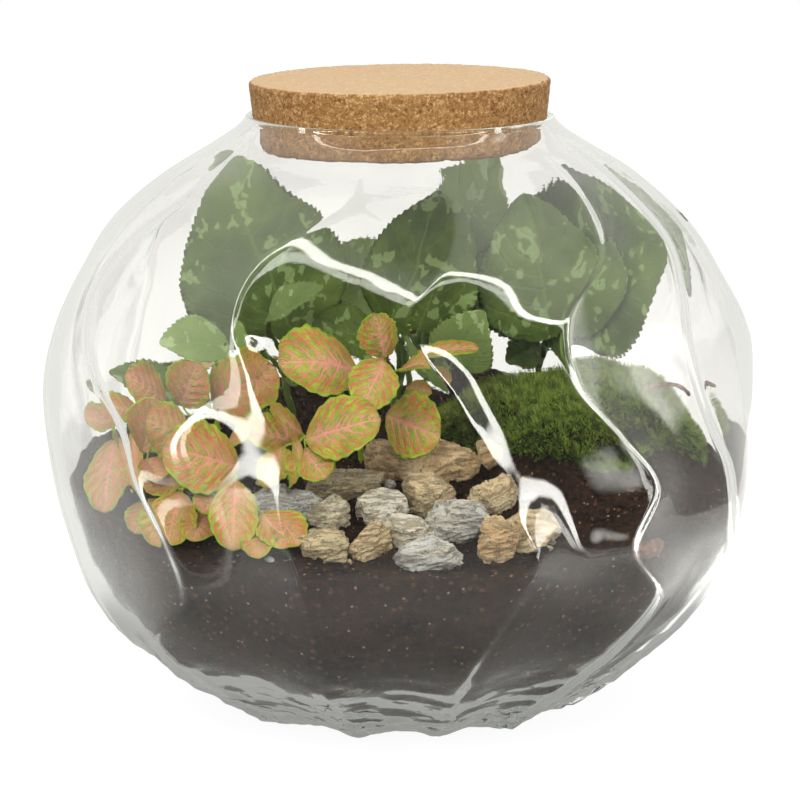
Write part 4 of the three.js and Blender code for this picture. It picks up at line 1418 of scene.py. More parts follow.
@dataclass
class StoneChips:
    """The broken stone chips: each its solid's form, with more corners knocked off and a rough skin."""

    tones: tuple[float, ...] = (
        0.0, 0.45, 0.52, 0.62, 0.78, 0.3, 0.86, 0.32, 0.9, 0.62, 0.08, 0.04, 0.7, 0.88, 0.72)
    chops: int = 8
    chop_range: Pair = (0.66, 0.86)
    fineness: int = 5
    growth: float = 1.55
    lift: float = 1.6
    lumps: float = 0.7
    pits: float = 0.55
    splinters: int = 34
    splinter_size: Pair = (1.6, 3.6)
    splinter_stretch: tuple[Pair, Pair, Pair] = ((0.9, 1.6), (0.6, 0.9), (0.45, 0.7))
    splinter_cuts: int = 11
    splinter_cut_range: Pair = (0.55, 0.9)
    splinter_rise: float = 0.4
    splinter_tones: tuple[float, ...] = (0.05, 0.35, 0.6, 0.8)
    bed: tuple[float, float, float, float] = (-44.0, 50.0, -96.0, -46.0)
    seed: int = 21

    @staticmethod
    def any_way(random: Random) -> Vector:
        """Draws a direction, each as likely as any other."""
        return Vector([random.gauss(0, 1) for _ in range(3)]).normalized()

    def facets(self, node: str, random: Random) -> tuple[Vector, list[tuple[Vector, float]]]:
        """Lists the flat sides of a chip: those of its solid, and a few more that cut its corners.

        Args:
            node: The solid.
            random: The source of the cuts.

        Returns:
            The chip's middle, and each side's direction and distance from it.
        """
        mesh = solid_copy(node)
        middle = sum((vert.co for vert in mesh.verts), Vector()) / len(mesh.verts)
        sides = [(face.normal.copy(), (face.calc_center_median() - middle).dot(face.normal))
                 for face in mesh.faces]
        for _ in range(self.chops):
            way = self.any_way(random)
            reach = max((vert.co - middle).dot(way) for vert in mesh.verts)
            sides.append((way, reach * random.uniform(*self.chop_range)))
        mesh.free()
        return middle, sides

    def roughen(self, point: Vector, seed: int) -> float:
        """How far the skin stands out at a point: broad lumps, and small pits and ridges."""
        place = point + Vector((seed * 13.0, 0, 0))
        layers = Vector((place.x * 0.12 + place.z * 0.3, place.y * 0.3, place.z * 1.0 - place.x * 0.35))
        ridged = 1 - 2 * abs(noise.noise(layers))
        return (self.lumps * noise.noise(place * 0.16) + self.pits * (0.7 * ridged - 0.5)
                + self.pits * 0.4 * noise.noise(place * 0.9))

    def build(self, material: bpy.types.Material) -> list[bpy.types.Object]:
        """Builds every chip, each standing for its solid."""
        chips = []
        random = Random(self.seed)
        for number, tint in enumerate(self.tones, 1):
            node = f"stone_{number:02d}"
            middle, sides = self.facets(node, random)
            mesh = bmesh.new()
            tone = mesh.verts.layers.float.new("tone")
            bmesh.ops.create_icosphere(mesh, subdivisions=self.fineness, radius=1)
            for vert in mesh.verts:
                way = vert.co.normalized()
                reach = min(far / way.dot(normal) for normal, far in sides if way.dot(normal) > 1e-3)
                point = middle + way * reach
                point += way * self.roughen(point, number)
                vert.co = middle + (point - middle) * self.growth + Vector((0, 0, self.lift))
                vert[tone] = tint
            chips.append(piece(f"chip_{number:02d}", mesh, material, [node], flat=True))
        return chips

    def build_splinters(self, material: bpy.types.Material, terrain: Terrain) -> bpy.types.Object:
        """Builds the small splinters that lie between the chips."""
        random = Random(self.seed + 1)
        mesh = bmesh.new()
        tone = mesh.verts.layers.float.new("tone")
        left, right, front, back = self.bed
        for number in range(self.splinters):
            x, y = random.uniform(left, right), random.uniform(front, back)
            size = random.uniform(*self.splinter_size)
            turn = Matrix.Rotation(random.uniform(0, math.tau), 3, "Z")
            stretch = Vector(random.uniform(*span) for span in self.splinter_stretch)
            made = bmesh.ops.create_icosphere(mesh, subdivisions=3, radius=1)["verts"]
            cuts = [(self.any_way(random), random.uniform(*self.splinter_cut_range))
                    for _ in range(self.splinter_cuts)]
            spot = Vector((x, y, terrain.soil(x, y) + size * self.splinter_rise))
            tint = random.choice(self.splinter_tones)
            for vert in made:
                way = vert.co.normalized()
                reach = min([1.0, *(far / way.dot(cut) for cut, far in cuts if way.dot(cut) > 1e-3)])
                shaped = way * reach * (1 + 0.1 * noise.noise(way * 2.5 + Vector((number, 0, 0))))
                vert.co = spot + turn @ Vector(a * b * size for a, b in zip(shaped, stretch))
                vert[tone] = tint
        return piece("chip_splinters", mesh, material, flat=True)


@dataclass
class WoodyBits:
    """The dry twig on the moss and the bark chip in the soil's edge."""

    cuts: int = 3
    relief: float = 0.5
    twig_share: float = 0.4
    twig_lift: float = 1.4

    def build(self, material: bpy.types.Material) -> list[bpy.types.Object]:
        """Builds both, each standing for its solid."""
        made = []
        for name, node in (("dry_twig", "twig"), ("bark_piece", "bark_chip")):
            mesh = solid_copy(node)
            bmesh.ops.subdivide_edges(mesh, edges=mesh.edges, cuts=self.cuts, use_grid_fill=True)
            mesh.normal_update()
            if node == "twig":
                bmesh.ops.translate(mesh, vec=(0, 0, self.twig_lift), verts=mesh.verts)
            relief = self.relief if node == "bark_chip" else self.relief * self.twig_share
            moves = [vert.normal * relief * noise.noise(vert.co * 0.7) for vert in mesh.verts]
            for vert, move in zip(mesh.verts, moves):
                vert.co += move
            made.append(piece(name, mesh, material, [node]))
        return made


# Leafy stems

class Outline(Enum):
    """The shape of a blade: where it is widest, and how full it is at its stalk and at its tip."""

    OVAL = (1.12, 0.66, 0.44)
    BROAD = (0.72, 0.75, 0.75)

    def at(self, share: float) -> float:
        """The half width at a share of the length, from 0 to 1."""
        lean, foot, tip = self.value
        share = min(max(share, 0.0), 1.0)
        return max(math.sin(math.pi * share ** lean), 0.0) ** (foot + (tip - foot) * share)


@dataclass(frozen=True)
class LeafStyle:
    """How one kind of leaf is made. Its rows are those of a tooth, or of a blade without teeth."""

    outline: Outline
    rows: int
    columns: int
    crease: float
    bow: float
    wave: float
    teeth_per_mm: float
    tooth: float
    side_veins: float
    vein_slope: float
    vein_depth: float
    rib_depth: float
    thickness: float
    stalk_radius: float
    stalk_bend: float
    fullness: float
    scallop: float


@dataclass(frozen=True)
class Leaf:
    """One leaf: its place on the stem, the blade's base, tip and width, and the way that it faces."""

    at: float
    base: Point
    tip: Point
    width: float
    face: Point
    crease: float | None = None
    tone: float = 0.0


@dataclass(frozen=True)
class Stem:
    """A leafy stem, from its root through a few points, with its leaves."""

    node: str
    root: Pair
    through: tuple[Point, ...]
    radius: float
    leaves: tuple[Leaf, ...]
    tone: float = 0.0


VEINED_STYLE = LeafStyle(
    outline=Outline.OVAL, rows=30, columns=20, crease=0.14, bow=0.05, wave=0.05, teeth_per_mm=0, tooth=0,
    side_veins=6, vein_slope=0.42, vein_depth=0.8, rib_depth=0.5, thickness=0.4, stalk_radius=0.5,
    stalk_bend=1.5, fullness=1.15, scallop=0.035)
BROAD_STYLE = LeafStyle(
    outline=Outline.BROAD, rows=4, columns=24, crease=0.12, bow=0.05, wave=0.04, teeth_per_mm=0.42,
    tooth=0.85, side_veins=8, vein_slope=0.35, vein_depth=0.3, rib_depth=0.6, thickness=0.4,
    stalk_radius=0.9, stalk_bend=3, fullness=1.0, scallop=0.0)

VEINED_STEMS = (
    Stem("veined_plant_far_left", (-78, -30), ((-81, -34, 98), (-84, -38, 106)), 1.2, (
        Leaf(0.98, (-91, -37, 102), (-97, -53, 80.5), 16, (-0.4, -0.9, 0.2)),
        Leaf(0.98, (-87, -46, 99), (-80, -52, 118), 15, (0.1, -0.9, 0.2)),
        Leaf(0.8, (-85, -52, 98), (-79, -66, 94), 11, (0, -0.5, 0.8)),
        Leaf(0.98, (-79, -26, 113), (-93, -36, 122), 16, (-0.2, -0.8, 0.6)),
        Leaf(0.7, (-90, -28, 108), (-104, -30, 108), 13, (-0.4, -0.6, 0.7))), 0.75),
    Stem("veined_plant_left", (-64, -36), ((-65, -40, 100), (-66, -40, 110)), 1.2, (
        Leaf(0.98, (-73, -38, 114), (-65, -46, 130), 15, (0, -0.9, 0.3)),
        Leaf(0.98, (-60, -36, 112), (-44, -42, 127), 20, (0.1, -0.8, 0.4)),
        Leaf(0.9, (-51, -66, 98), (-77, -78, 107), 21, (0, -0.9, 0.4)),
        Leaf(0.8, (-70, -52, 104), (-84, -60, 112), 17, (-0.2, -0.8, 0.5)),
        Leaf(0.7, (-56, -46, 103), (-48, -60, 108), 14, (0.2, -0.8, 0.5)),
        Leaf(0.6, (-72, -50, 99), (-66, -62, 91), 13, (0, -0.8, 0.5))), 0.6),
    Stem("veined_plant_front_left", (-66, -62), ((-67, -64, 92),), 1.1, (
        Leaf(0.98, (-72, -70, 91), (-76, -80, 75), 16, (-0.2, -0.9, 0.4)),
        Leaf(0.98, (-72, -60, 92), (-86, -65, 91), 9, (0, -0.7, 0.7)),
        Leaf(0.9, (-79, -64, 87), (-85, -70, 77.5), 11, (-0.4, -0.7, 0.6)),
        Leaf(0.9, (-63, -72, 84), (-67, -85, 78), 12, (0, -0.5, 0.9)),
        Leaf(0.8, (-60, -66, 89), (-54, -76, 91), 12, (0.1, -0.8, 0.5))), 0.6),
    Stem("veined_plant_front", (-53, -60), ((-52, -66, 94),), 1.2, (
        Leaf(0.98, (-52, -80, 97), (-53, -93, 77), 15, (0, -0.9, 0.4)),
        Leaf(0.8, (-43, -84, 87), (-33, -96, 79), 13, (0.1, -0.7, 0.7)),
        Leaf(0.8, (-44, -86, 84), (-44, -99, 76), 11, (-0.2, -0.7, 0.7)),
        Leaf(0.6, (-58, -74, 90), (-64, -84, 87), 11, (-0.2, -0.8, 0.5))), 0.55),
    Stem("veined_plant_middle", (-14, -32), ((-12, -34, 104), (-8, -40, 116), (-6, -46, 128)), 1.3, (
        Leaf(0.96, (-13, -48, 128), (-41, -64, 132), 23, (0, -0.8, 0.6)),
        Leaf(0.98, (-4, -56, 133), (-12, -74, 119), 15, (0.1, -0.8, 0.6)),
        Leaf(0.98, (-3, -52, 133), (-8, -56, 148), 14, (0, -1, 0.1)),
        Leaf(0.96, (1, -50, 129), (25, -60, 136), 9, (0, -0.5, 0.9))), 0.15),
    Stem("veined_plant_centre", (-24, -46), ((-26, -52, 100), (-30, -62, 106)), 1.2, (
        Leaf(0.98, (-32, -70, 107), (-6, -80, 117), 19, (0, -0.8, 0.6)),
        Leaf(0.98, (-33, -72, 105), (-25, -82, 98), 12, (0, -0.7, 0.6)),
        Leaf(0.9, (-36, -64, 105), (-42, -74, 93), 10, (-0.2, -0.9, 0.3)),
        Leaf(0.85, (-34, -50, 104), (-50, -56, 110), 13, (0, -0.7, 0.7)),
        Leaf(0.6, (-26, -58, 104), (-14, -62, 106), 12, (0, -0.7, 0.7))), 0.1),
    Stem("veined_plant_right", (-1, -30), ((0, -34, 103),), 1.1, (
        Leaf(0.98, (-4, -46, 112), (15, -57, 107), 20, (0, -0.9, 0.3)),
        Leaf(0.9, (4, -38, 120), (13, -44, 120), 7, (0, -0.7, 0.7))), 0.1),
    Stem("veined_plant_back_left", (-62, 34), ((-66, 38, 102), (-69, 41, 108)), 1.2, (
        Leaf(0.98, (-74, 38, 110), (-92, 32, 110), 18, (-0.5, 0.3, 0.8)),
        Leaf(0.98, (-68, 48, 111), (-62, 66, 112), 18, (0, 0.6, 0.8)),
        Leaf(0.9, (-76, 48, 106), (-84, 58, 97), 16, (-0.6, 0.6, 0.5)),
        Leaf(0.98, (-64, 38, 112), (-48, 32, 116), 16, (0, 0.2, 1)))),
    Stem("veined_plant_back", (-18, 66), ((-18, 70, 104), (-16, 74, 112)), 1.2, (
        Leaf(0.98, (-20, 78, 114), (-36, 88, 118), 18, (-0.2, 0.6, 0.8)),
        Leaf(0.98, (-12, 78, 113), (4, 92, 112), 18, (0.2, 0.6, 0.8)),
        Leaf(0.9, (-18, 82, 106), (-20, 98, 96), 15, (0, 0.8, 0.5)))),
)

BROAD_STEMS = (
    Stem("broad_plant_left", (-42, 8), ((-43, 6, 108), (-42, 8, 120), (-41, 12, 126)), 1.9, (
        Leaf(0.98, (-37, 14, 125), (-60, 8, 192), 56, (-0.15, -0.95, 0.3), 0.1, 0.1),
        Leaf(0.7, (-46, -12, 139), (-26, -26, 152), 15, (0, -0.7, 0.7), 0.3, 0.25),
        Leaf(0.6, (-56, -10, 130), (-80, -26, 132), 19, (-0.1, -0.7, 0.7), None, 0.45),
        Leaf(0.5, (-74, -6, 111), (-101, -14, 119), 18, (-0.2, -0.7, 0.7), None, 0.2),
        Leaf(0.6, (-34, -14, 117), (-32, -20, 138), 18, (0, -0.9, 0.3)))),
    Stem("broad_plant_centre", (0, 22), ((2, 22, 108), (4, 20, 120), (8, 22, 140), (14, 26, 156)), 1.9, (
        Leaf(0.45, (3, 8, 130), (15, 2, 182), 38, (-0.2, -0.95, 0.2)),
        Leaf(0.98, (18, 26, 160), (34, 20, 189), 25, (0.1, -0.85, 0.5), None, 1.0),
        Leaf(0.5, (0, 32, 138), (-26, 36, 158), 28, (0, -0.9, 0.4), None, 0.95),
        Leaf(0.4, (-6, 4, 128), (-30, -6, 135), 20, (0, -0.7, 0.7)),
        Leaf(0.3, (14, -2, 117), (27, -12, 142), 25, (0, -0.95, 0.2), None, 0.35))),
    Stem("broad_plant_right", (52, 46), ((53, 46, 108), (56, 42, 120), (60, 36, 126)), 2.1, (
        Leaf(0.98, (56, 16, 127), (42, 2, 182), 50, (-0.15, -0.95, 0.25), None, 0.12),
        Leaf(0.98, (46, 34, 141), (96, 5, 167), 66, (0.2, -0.9, 0.3), None, 0.05),
        Leaf(0.9, (52, 30, 130), (16, 18, 144), 22, (0, -0.8, 0.5)),
        Leaf(0.98, (76, 35, 136), (93, 31, 154), 18, (0.3, -0.8, 0.4)),
        Leaf(0.7, (64, 52, 124), (78, 60, 146), 32, (0.4, 0.8, 0.4)),
        Leaf(0.6, (54, 37, 122), (38, 33, 115), 15, (0, -0.7, 0.7)))),
    Stem("broad_plant_back", (8, 48), ((8, 50, 106), (6, 53, 118), (5, 55, 126)), 1.9, (
        Leaf(0.98, (10, 60, 128), (24, 68, 160), 34, (0.2, 0.9, 0.3)),
        Leaf(0.98, (-2, 58, 128), (-24, 64, 150), 30, (-0.2, 0.9, 0.4)),
        Leaf(0.7, (14, 64, 122), (34, 78, 132), 26, (0.2, 0.7, 0.7)),
        Leaf(0.7, (-8, 62, 122), (-40, 74, 132), 24, (-0.2, 0.7, 0.7)))),
)


@dataclass
class LeafyPlant:
    """One kind of plant: its stems, the style of its leaves, and its slot."""

    style: LeafStyle
    stems: tuple[Stem, ...]
    terrain: Terrain
    slot: Slot
    label: str
    root_depth: float = 11.0
    stem_sides: int = 10
    stem_steps: int = 24
    stem_rise: float = 4.0
    stem_taper: float = 0.3
    stalk_sides: int = 8
    stalk_steps: int = 12
    stalk_foot: float = 1.15
    stalk_taper: float = 0.4
    stalk_reach: float = 0.6
    stalk_overlap: float = 1.6
    vein_width: float = 0.55
    rib_width: float = 0.9
    tooth_top: float = 0.75
    seed: int = 3

    def stem_path(self, stem: Stem) -> list[Vector]:
        """The stem's middle line, from under the soil to its last leaf."""
        x, y = stem.root
        ground = self.terrain.soil(x, y)
        points = [Vector((x, y, ground - self.root_depth)), Vector((x, y, ground + self.stem_rise))]
        return curve_through([*points, *map(Vector, stem.through)], self.stem_steps)

    def tooth(self, share: float, count: int) -> float:
        """How far the toothed edge stands out: teeth that rise slowly and fall steeply towards the tip."""
        place, top = (share * count) % 1.0, self.tooth_top
        return place / top if place < top else (1 - place) / (1 - top)

    def blade(self, leaf: Leaf, tint: float, random: Random) -> bpy.types.Mesh:
        """Makes one blade: a fine sheet, shaped by its outline, folds, veins and teeth, then thickened.

        Args:
            leaf: The leaf.
            tint: What its finish reads as its tone.
            random: The source of its small unevenness.

        Returns:
            The blade's mesh, with its own map.
        """
        style = self.style
        start, axis = Vector(leaf.base), Vector(leaf.tip) - Vector(leaf.base)
        length = axis.length
        along = axis.normalized()
        side = along.cross(Vector(leaf.face)).normalized()
        up = side.cross(along).normalized()
        teeth = max(round(length * style.teeth_per_mm), 0)
        rows = style.rows * max(teeth, 1)
        crease = style.crease if leaf.crease is None else leaf.crease
        offset = Vector((random.uniform(0, 99), random.uniform(0, 99), 0))
        mesh = bmesh.new()
        plan = mesh.loops.layers.uv.new("plan")
        tone = mesh.verts.layers.float.new("tone")
        bmesh.ops.create_grid(mesh, x_segments=style.columns, y_segments=rows, size=1)
        for face in mesh.faces:
            for loop in face.loops:
                loop[plan].uv = ((loop.vert.co.x + 1) / 2, (loop.vert.co.y + 1) / 2)
        for vert in mesh.verts:
            u, v = vert.co.x, (vert.co.y + 1) / 2
            bulge = 1 + style.scallop * math.cos(math.tau * style.side_veins * (v - style.vein_slope))
            half = max(leaf.width * style.fullness / 2 * style.outline.at(v) * bulge, 0.5)
            reach = abs(u)
            body = math.sin(math.pi * v) ** 0.5
            cut = style.tooth * self.tooth(v, teeth) * reach ** 6 * body if teeth else 0.0
            phase = style.side_veins * (v - style.vein_slope * reach)
            valley = abs(phase % 1.0 - 0.5) * 2
            quilt = (-style.vein_depth * (1 - smooth(valley / self.vein_width)) * smooth(reach * 6)
                     * (1 - reach ** 4) * body)
            rib = -style.rib_depth * math.exp(-(u * half / self.rib_width) ** 2) * body
            uneven = noise.noise(Vector((u * half, v * length, 0)) * 0.11 + offset) * 0.05 * length * reach
            lift = (reach * half * crease + style.bow * length * 4 * v * (1 - v) + quilt + rib + uneven * 0.5
                    + style.wave * half * u * u * math.sin(3 * math.pi * v + u))
            across = u * half + math.copysign(cut, u)
            vert.co = start + axis * v + along * (cut * 0.7) + side * across + up * lift
            vert[tone] = tint
        bmesh.ops.solidify(mesh, geom=mesh.faces[:], thickness=style.thickness)
        bmesh.ops.recalc_face_normals(mesh, faces=mesh.faces)
        return plain_mesh("blade", mesh)

    def grow(self, stem: Stem, material: bpy.types.Material) -> bpy.types.Object:
        """Grows one stem with its leaves, standing for its solid."""
        random = Random(f"{self.seed} {stem.node}")
        path = self.stem_path(stem)
        mesh = bmesh.new()
        mesh.loops.layers.uv.new("plan")
        mesh.verts.layers.float.new("tone")
        radii = [stem.radius * (1 - self.stem_taper * i / len(path)) for i in range(len(path))]
        sweep(mesh, path, radii, self.stem_sides)
        for leaf in stem.leaves:
            base = Vector(leaf.base)
            inward = (Vector(leaf.tip) - base).normalized()
            joint = path[round(leaf.at * (len(path) - 1))]
            bend = joint.lerp(base, self.stalk_reach) - inward * self.style.stalk_bend
            steps = self.stalk_steps
            stalk = curve_through([joint, bend, base + inward * self.stalk_overlap], steps)
            widths = [self.stalk_foot - self.stalk_taper * i / steps for i in range(steps + 1)]
            sweep(mesh, stalk, [self.style.stalk_radius * width for width in widths], self.stalk_sides)
            mesh.from_mesh(self.blade(leaf, leaf.tone + stem.tone, random))
        bmesh.ops.recalc_face_normals(mesh, faces=mesh.faces)
        place = stem.node.split("_plant", 1)[1]
        return piece(self.label + place, mesh, material, [stem.node])

    def build(self, material: bpy.types.Material) -> list[bpy.types.Object]:
        """Grows every stem."""
        return [self.grow(stem, material) for stem in self.stems]


# The studio

@dataclass(frozen=True)
class Camera:
    """The camera, at the photograph's viewing angle."""

    place: Point = (0, -1178, 337.7)
    pitch: float = 11.06
    lens: float = 156.2
    sensor: float = 36.0
    clip: Pair = (0.05, 60.0)

    def build(self) -> bpy.types.Object:
        """Sets the camera up and makes it the scene's."""
        data = bpy.data.cameras.new("camera")
        data.lens, data.sensor_width = self.lens, self.sensor
        data.clip_start, data.clip_end = self.clip
        camera = bpy.data.objects.new("camera", data)
        camera.location = Vector(self.place) * METRES
        camera.rotation_euler = (math.radians(90 - self.pitch), 0, 0)
        bpy.context.scene.collection.objects.link(camera)
        bpy.context.scene.camera = camera
        return camera


@dataclass(frozen=True)
class Lamp:
    """A soft rectangular lamp that is aimed at the planting, and its place, size in metres and power."""

    name: str
    place: Point
    size: Pair
    power: float
    aim: Point = (0, 0, 110)

    def build(self) -> bpy.types.Object:
        """Hangs the lamp."""
        data = bpy.data.lights.new(self.name, "AREA")
        data.shape = "RECTANGLE"
        data.size, data.size_y = self.size
        data.energy = self.power
        lamp = bpy.data.objects.new(self.name, data)
        lamp.location = Vector(self.place) * METRES
        lamp.rotation_euler = (Vector(self.aim) - Vector(self.place)).to_track_quat("-Z", "Y").to_euler()
        lamp.visible_glossy = lamp.visible_transmission = False
        lamp.visible_camera = False
        bpy.context.scene.collection.objects.link(lamp)
        return lamp


@dataclass(frozen=True)
class Tent:
    """A light tent as the glass mirrors it: a dark opening in front, edged with bright strips.

    The opening's half width and its lowest and highest edge are angles in degrees, seen from the object.
    Light that has passed through both walls of the bowl sees only the tent's pale cloth.
    """

    half_width: float = 67.0
    low: float = -46.0
    high: float = 60.0
    slant: float = 0.16
    slant_range: Pair = (0.0, 40.0)
    corner: float = 5.0
    strip: float = 0.042
    strip_glow: float = 20.0
    far_glow: float = 2.5
    unlit_below: Pair = (-18.0, -4.0)
    unlit_within: Pair = (36.0, 46.0)
    fading: Pair = (-34.0, -12.0)
    faded: float = 0.05
    left_drop: float = 8.0
    drop_range: Pair = (-20.0, 20.0)
    brightening: Pair = (-12.0, 50.0)
    zenith: Pair = (66.0, 80.0)
    zenith_cloth: float = 0.4
    lower_cloth: float = 0.64
    upper_cloth: float = 1.35
    back_cloth: float = 0.86
    back_range: Pair = (0.1, 0.5)
    far_cloth: float = 0.95
    dusk: Pair = (-48.0, -20.0)
    dusk_share: float = 0.85
    gap: float = 0.02
    gap_inside: float = 0.2
    far_gap: float = 0.6
    far_bends: float = 3.5
    near_bends: float = 2.5
    side_lamp: Point = (82.0, 8.0, 4.5)
    side_core: float = 2.0
    side_edge: float = 8.0
    side_range: Pair = (-10.0, 36.0)
    low_lamp: Pair = (47.0, -22.0)
    low_reach: Pair = (1.5, 7.5)
    low_glow: float = 6.0
    tone: Colour = (1.0, 0.99, 0.94, 1.0)

    def opening(self, tree: Tree, turn: Socket, rise: Socket) -> Socket:
        """Measures how far out a direction lies, as a share of the opening's rounded outline."""
        middle, half = (self.high + self.low) / 2, (self.high - self.low) / 2
        across = tree.math("DIVIDE", tree.math("ABSOLUTE", turn), self.half_width)
        tilt = tree.math("MULTIPLY", tree.math("MULTIPLY", turn, self.slant),
                         tree.ease(rise, *self.slant_range))
        rise = tree.math("ADD", rise, tilt)
        up = tree.math("DIVIDE", tree.math("ABSOLUTE", tree.math("SUBTRACT", rise, middle)), half)
        total = tree.math("ADD", tree.math("POWER", across, self.corner), tree.math("POWER", up, self.corner))
        return tree.math("POWER", total, 1 / self.corner)

    def beside(self, tree: Tree, turn: Socket, rise: Socket) -> Socket:
        """Gives the glow of the upright lamp at the side."""
        side_turn, side_half, side_glow = self.side_lamp
        away = tree.math("ABSOLUTE", tree.math("SUBTRACT", turn, side_turn))
        low, high = self.side_range
        level = tree.math("MULTIPLY", tree.ease(rise, low, low + self.side_edge),
                          tree.ease(rise, high - self.side_edge, high, 1.0, 0.0))
        return tree.math("MULTIPLY", tree.ease(away, self.side_core, side_half, side_glow, 0.0), level)

    def below(self, tree: Tree, turn: Socket, rise: Socket) -> Socket:
        """Gives the glow of the small round lamp low at the right."""
        low_turn, low_rise = self.low_lamp
        across = tree.math("POWER", tree.math("SUBTRACT", turn, low_turn), 2.0)
        up = tree.math("POWER", tree.math("SUBTRACT", rise, low_rise), 2.0)
        return tree.ease(tree.math("SQRT", tree.math("ADD", across, up)), *self.low_reach, self.low_glow, 0.0)

    def radiance(self, tree: Tree, bends: Socket) -> Socket:
        """Works out how bright the tent is in a direction.

        Args:
            tree: The world's tree.
            bends: How often the light has passed through a face of the glass on its way.

        Returns:
            The brightness.
        """
        split = tree.parts(tree.add("ShaderNodeTexCoord", "Generated"))
        turn = tree.math("DEGREES", tree.math("ARCTAN2", split["X"], tree.math("MULTIPLY", split["Y"], -1.0)))
        rise = tree.math("DEGREES", tree.math("ARCSINE", split["Z"]))
        reach = self.opening(tree, turn, rise)
        far = tree.math("GREATER_THAN", bends, self.far_bends)
        cloth = tree.ease(rise, *self.brightening, self.lower_cloth, self.upper_cloth)
        cloth = tree.mix_value(tree.ease(rise, *self.zenith), cloth, self.zenith_cloth)
        cloth = tree.mix_value(tree.ease(split["Y"], *self.back_range), cloth, self.back_cloth)
        cloth = tree.mix_value(far, cloth, self.far_cloth)
        dark = tree.ease(bends, 0, 1, self.gap, self.gap_inside)
        dark = tree.mix_value(tree.ease(rise, *self.dusk, self.dusk_share, 0.0), dark, self.lower_cloth)
        dark = tree.mix_value(far, dark, self.far_gap)
        bright = tree.ease(reach, 1 - self.strip / 2, 1 + self.strip / 2, dark, cloth)
        off = tree.math("ABSOLUTE", tree.math("SUBTRACT", reach, 1.0))
        strip = tree.ease(off, self.strip * 0.5, self.strip, 1.0, 0.0)
        lit = tree.math("MAXIMUM", tree.ease(rise, *self.unlit_below),
                        tree.ease(tree.math("ABSOLUTE", turn), *self.unlit_within))
        near = tree.math("LESS_THAN", bends, self.near_bends)
        glow = tree.ease(near, 0, 1, self.far_glow, self.strip_glow)
        dropped = tree.math("SUBTRACT", rise, tree.ease(turn, *self.drop_range, self.left_drop, 0.0))
        lit = tree.math("MULTIPLY", lit, tree.ease(dropped, *self.fading, self.faded, 1.0))
        strips = tree.math("MULTIPLY", tree.math("MULTIPLY", strip, lit), glow)
        lamps = tree.math("MAXIMUM", self.beside(tree, turn, rise), self.below(tree, turn, rise))
        return tree.math("ADD", tree.math("ADD", bright, strips), tree.math("MULTIPLY", lamps, near))


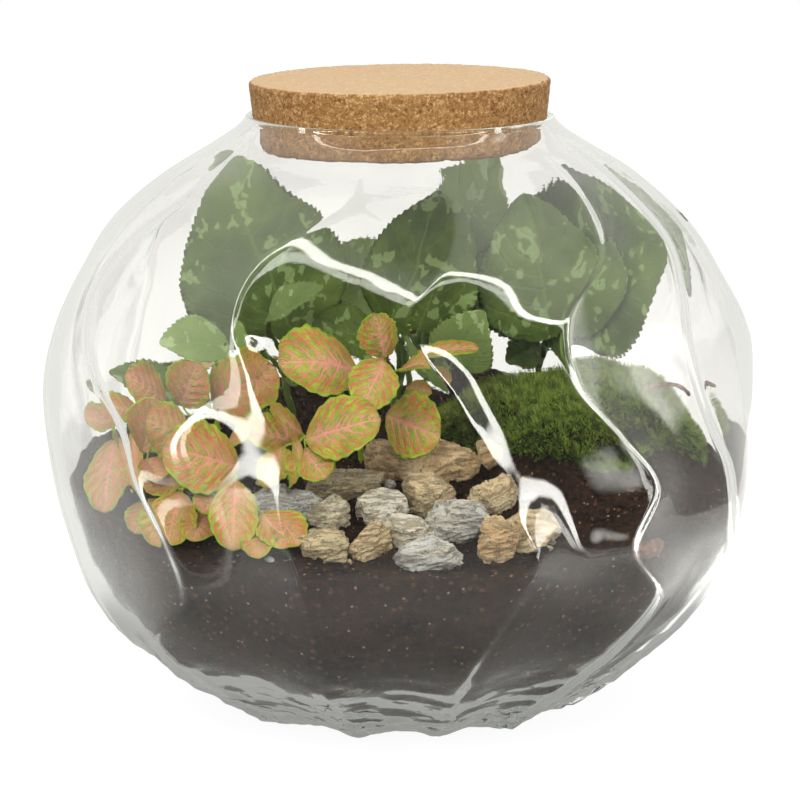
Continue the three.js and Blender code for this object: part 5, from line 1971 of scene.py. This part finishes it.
@dataclass(frozen=True)
class Studio:
    """A white sweep under soft light, in a light tent."""

    floor_front: float = -0.14
    floor_back: float = 3.5
    floor_half: float = 0.32
    floor_tone: float = 0.12
    floor_glow: float = 0.93
    # The floor's glow as other rays than the camera's see it: a painted contact shadow near the object, and
    # painted light that is brighter to the right.
    shadowed_and_lit_glow: Pair = (0.32, 0.96)
    painted_shadow_fade: Pair = (0.16, 0.5)
    painted_contact_shadow: Pair = (0.125, 0.18)
    painted_light_left: Pair = (-0.15, 0.7)
    painted_light_right: Pair = (0.15, 1.25)
    ambient: float = 0.95
    background: float = 1.0
    tent: Tent = Tent()
    lamps: tuple[Lamp, ...] = (
        Lamp("key lamp", (-420, -860, 720), (0.6, 0.6), 8.0),
        Lamp("fill lamp", (700, -620, 560), (0.8, 0.8), 4.0),
        Lamp("top lamp", (0, 60, 1150), (1.1, 0.9), 5.0),
    )

    def world(self) -> None:
        """Makes the surroundings: the tent in clear glass, and an even soft light on all else."""
        world = bpy.data.worlds.new("studio")
        bpy.context.scene.world = world
        world.use_nodes = True
        tree = Tree(world.node_tree)
        camera = tree.add("ShaderNodeLightPath", "Is Camera Ray")
        paths = camera.node.outputs
        tent = self.tent.radiance(tree, paths["Transmission Depth"])
        clear = tree.math("MULTIPLY", paths["Is Singular Ray"], tree.math("SUBTRACT", 1.0, camera))
        plain = tree.ease(camera, 0, 1, self.ambient, self.background)
        strength = tree.ease(clear, 0, 1, plain, tent)
        tone = tree.mix(clear, (1, 1, 1, 1), self.tent.tone)
        background = tree.add("ShaderNodeBackground", inputs={"Color": tone, "Strength": strength})
        tree.feed(tree.tree.nodes.new("ShaderNodeOutputWorld"), {"Surface": background})

    def floor(self) -> bpy.types.Object:
        """Lays the pale floor, which ends just in front of the object, at the tent's opening.
        The camera sees it evenly bright; to other rays its glow carries a painted contact shadow round the
        object and painted light brighter to the right.
        """
        mesh = bmesh.new()
        bmesh.ops.create_grid(mesh, x_segments=1, y_segments=1, size=0.5)
        depth, middle = self.floor_back - self.floor_front, (self.floor_back + self.floor_front) / 2
        bmesh.ops.scale(mesh, vec=(2 * self.floor_half, depth, 1), verts=mesh.verts)
        bmesh.ops.translate(mesh, vec=(0, middle, 0), verts=mesh.verts)
        data = bpy.data.meshes.new("floor")
        mesh.to_mesh(data)
        mesh.free()
        material = bpy.data.materials.new("floor")
        material.use_nodes = True
        tree = Tree(material.node_tree)
        grey = (self.floor_tone, self.floor_tone, self.floor_tone, 1.0)
        dull = tree.add("ShaderNodeBsdfDiffuse", inputs={"Color": grey})
        seen = tree.add("ShaderNodeLightPath", "Is Camera Ray")
        tone = tree.mix(seen, self.tent.tone, (1, 1, 1, 1))
        # Painted contact shadow: the glow is dimmer close to the object; painted light: in reflections it
        # grows brighter to the right.
        place = tree.add("ShaderNodeTexCoord", "Object")
        away, aside = tree.length(place), tree.parts(place)["X"]
        (left, left_glow), (right, right_glow) = self.painted_light_left, self.painted_light_right
        painted_side_light = tree.ease(aside, left, right, left_glow, right_glow)
        shadow_glow, bright = self.shadowed_and_lit_glow
        mirrored_with_painted_shadow = tree.mix_value(tree.ease(away, *self.painted_contact_shadow), shadow_glow, painted_side_light)
        through = tree.ease(away, *self.painted_shadow_fade, shadow_glow, bright)
        bends = seen.node.outputs["Transmission Depth"]
        seen_through = tree.math("GREATER_THAN", bends, self.tent.near_bends)
        in_glass = tree.mix_value(seen_through, mirrored_with_painted_shadow, through)
        strength = tree.mix_value(seen, in_glass, self.floor_glow)
        glow = tree.add("ShaderNodeEmission", inputs={"Color": tone, "Strength": strength})
        Finish.close(tree, tree.add("ShaderNodeAddShader", inputs={0: dull, 1: glow}))
        data.materials.append(material)
        floor = bpy.data.objects.new("floor", data)
        bpy.context.scene.collection.objects.link(floor)
        return floor

    def build(self) -> None:
        """Sets up the whole studio."""
        self.world()
        self.floor()
        for lamp in self.lamps:
            lamp.build()
        bpy.context.scene.view_settings.view_transform = "Standard"


def main() -> None:
    """Builds the terrarium and its studio."""
    logging.basicConfig(level=logging.INFO)
    Camera().build()
    Studio().build()
    effects = Effects()
    form, terrain = GlassForm(), Terrain()
    soil = SoilFinish("soil", effects).build()
    moss = MossFinish("moss", effects).build()
    GlassBowl(form).build(GlassFinish("glass", effects).build())
    CorkPlug().build(CorkFinish("cork", effects).build())
    body = Soil(form, terrain)
    body.build(soil)
    body.build_crumbs(soil)
    cushion = MossCushion(terrain)
    cushion.build(moss)
    cushion.build_shoots(moss)
    stone = StoneFinish("stone", effects).build()
    chips = StoneChips()
    chips.build(stone)
    chips.build_splinters(stone, terrain)
    WoodyBits().build(BarkFinish("bark", effects).build())
    small = LeafyPlant(VEINED_STYLE, VEINED_STEMS, terrain, Slot.VEINED_LEAF, "nerve_plant")
    small.build(VeinedLeafFinish("veined leaf", effects).build())
    large = LeafyPlant(BROAD_STYLE, BROAD_STEMS, terrain, Slot.BROAD_LEAF, "toothed_plant")
    large.build(BroadLeafFinish("broad leaf", effects).build())


if __name__ == "__main__":
    main()
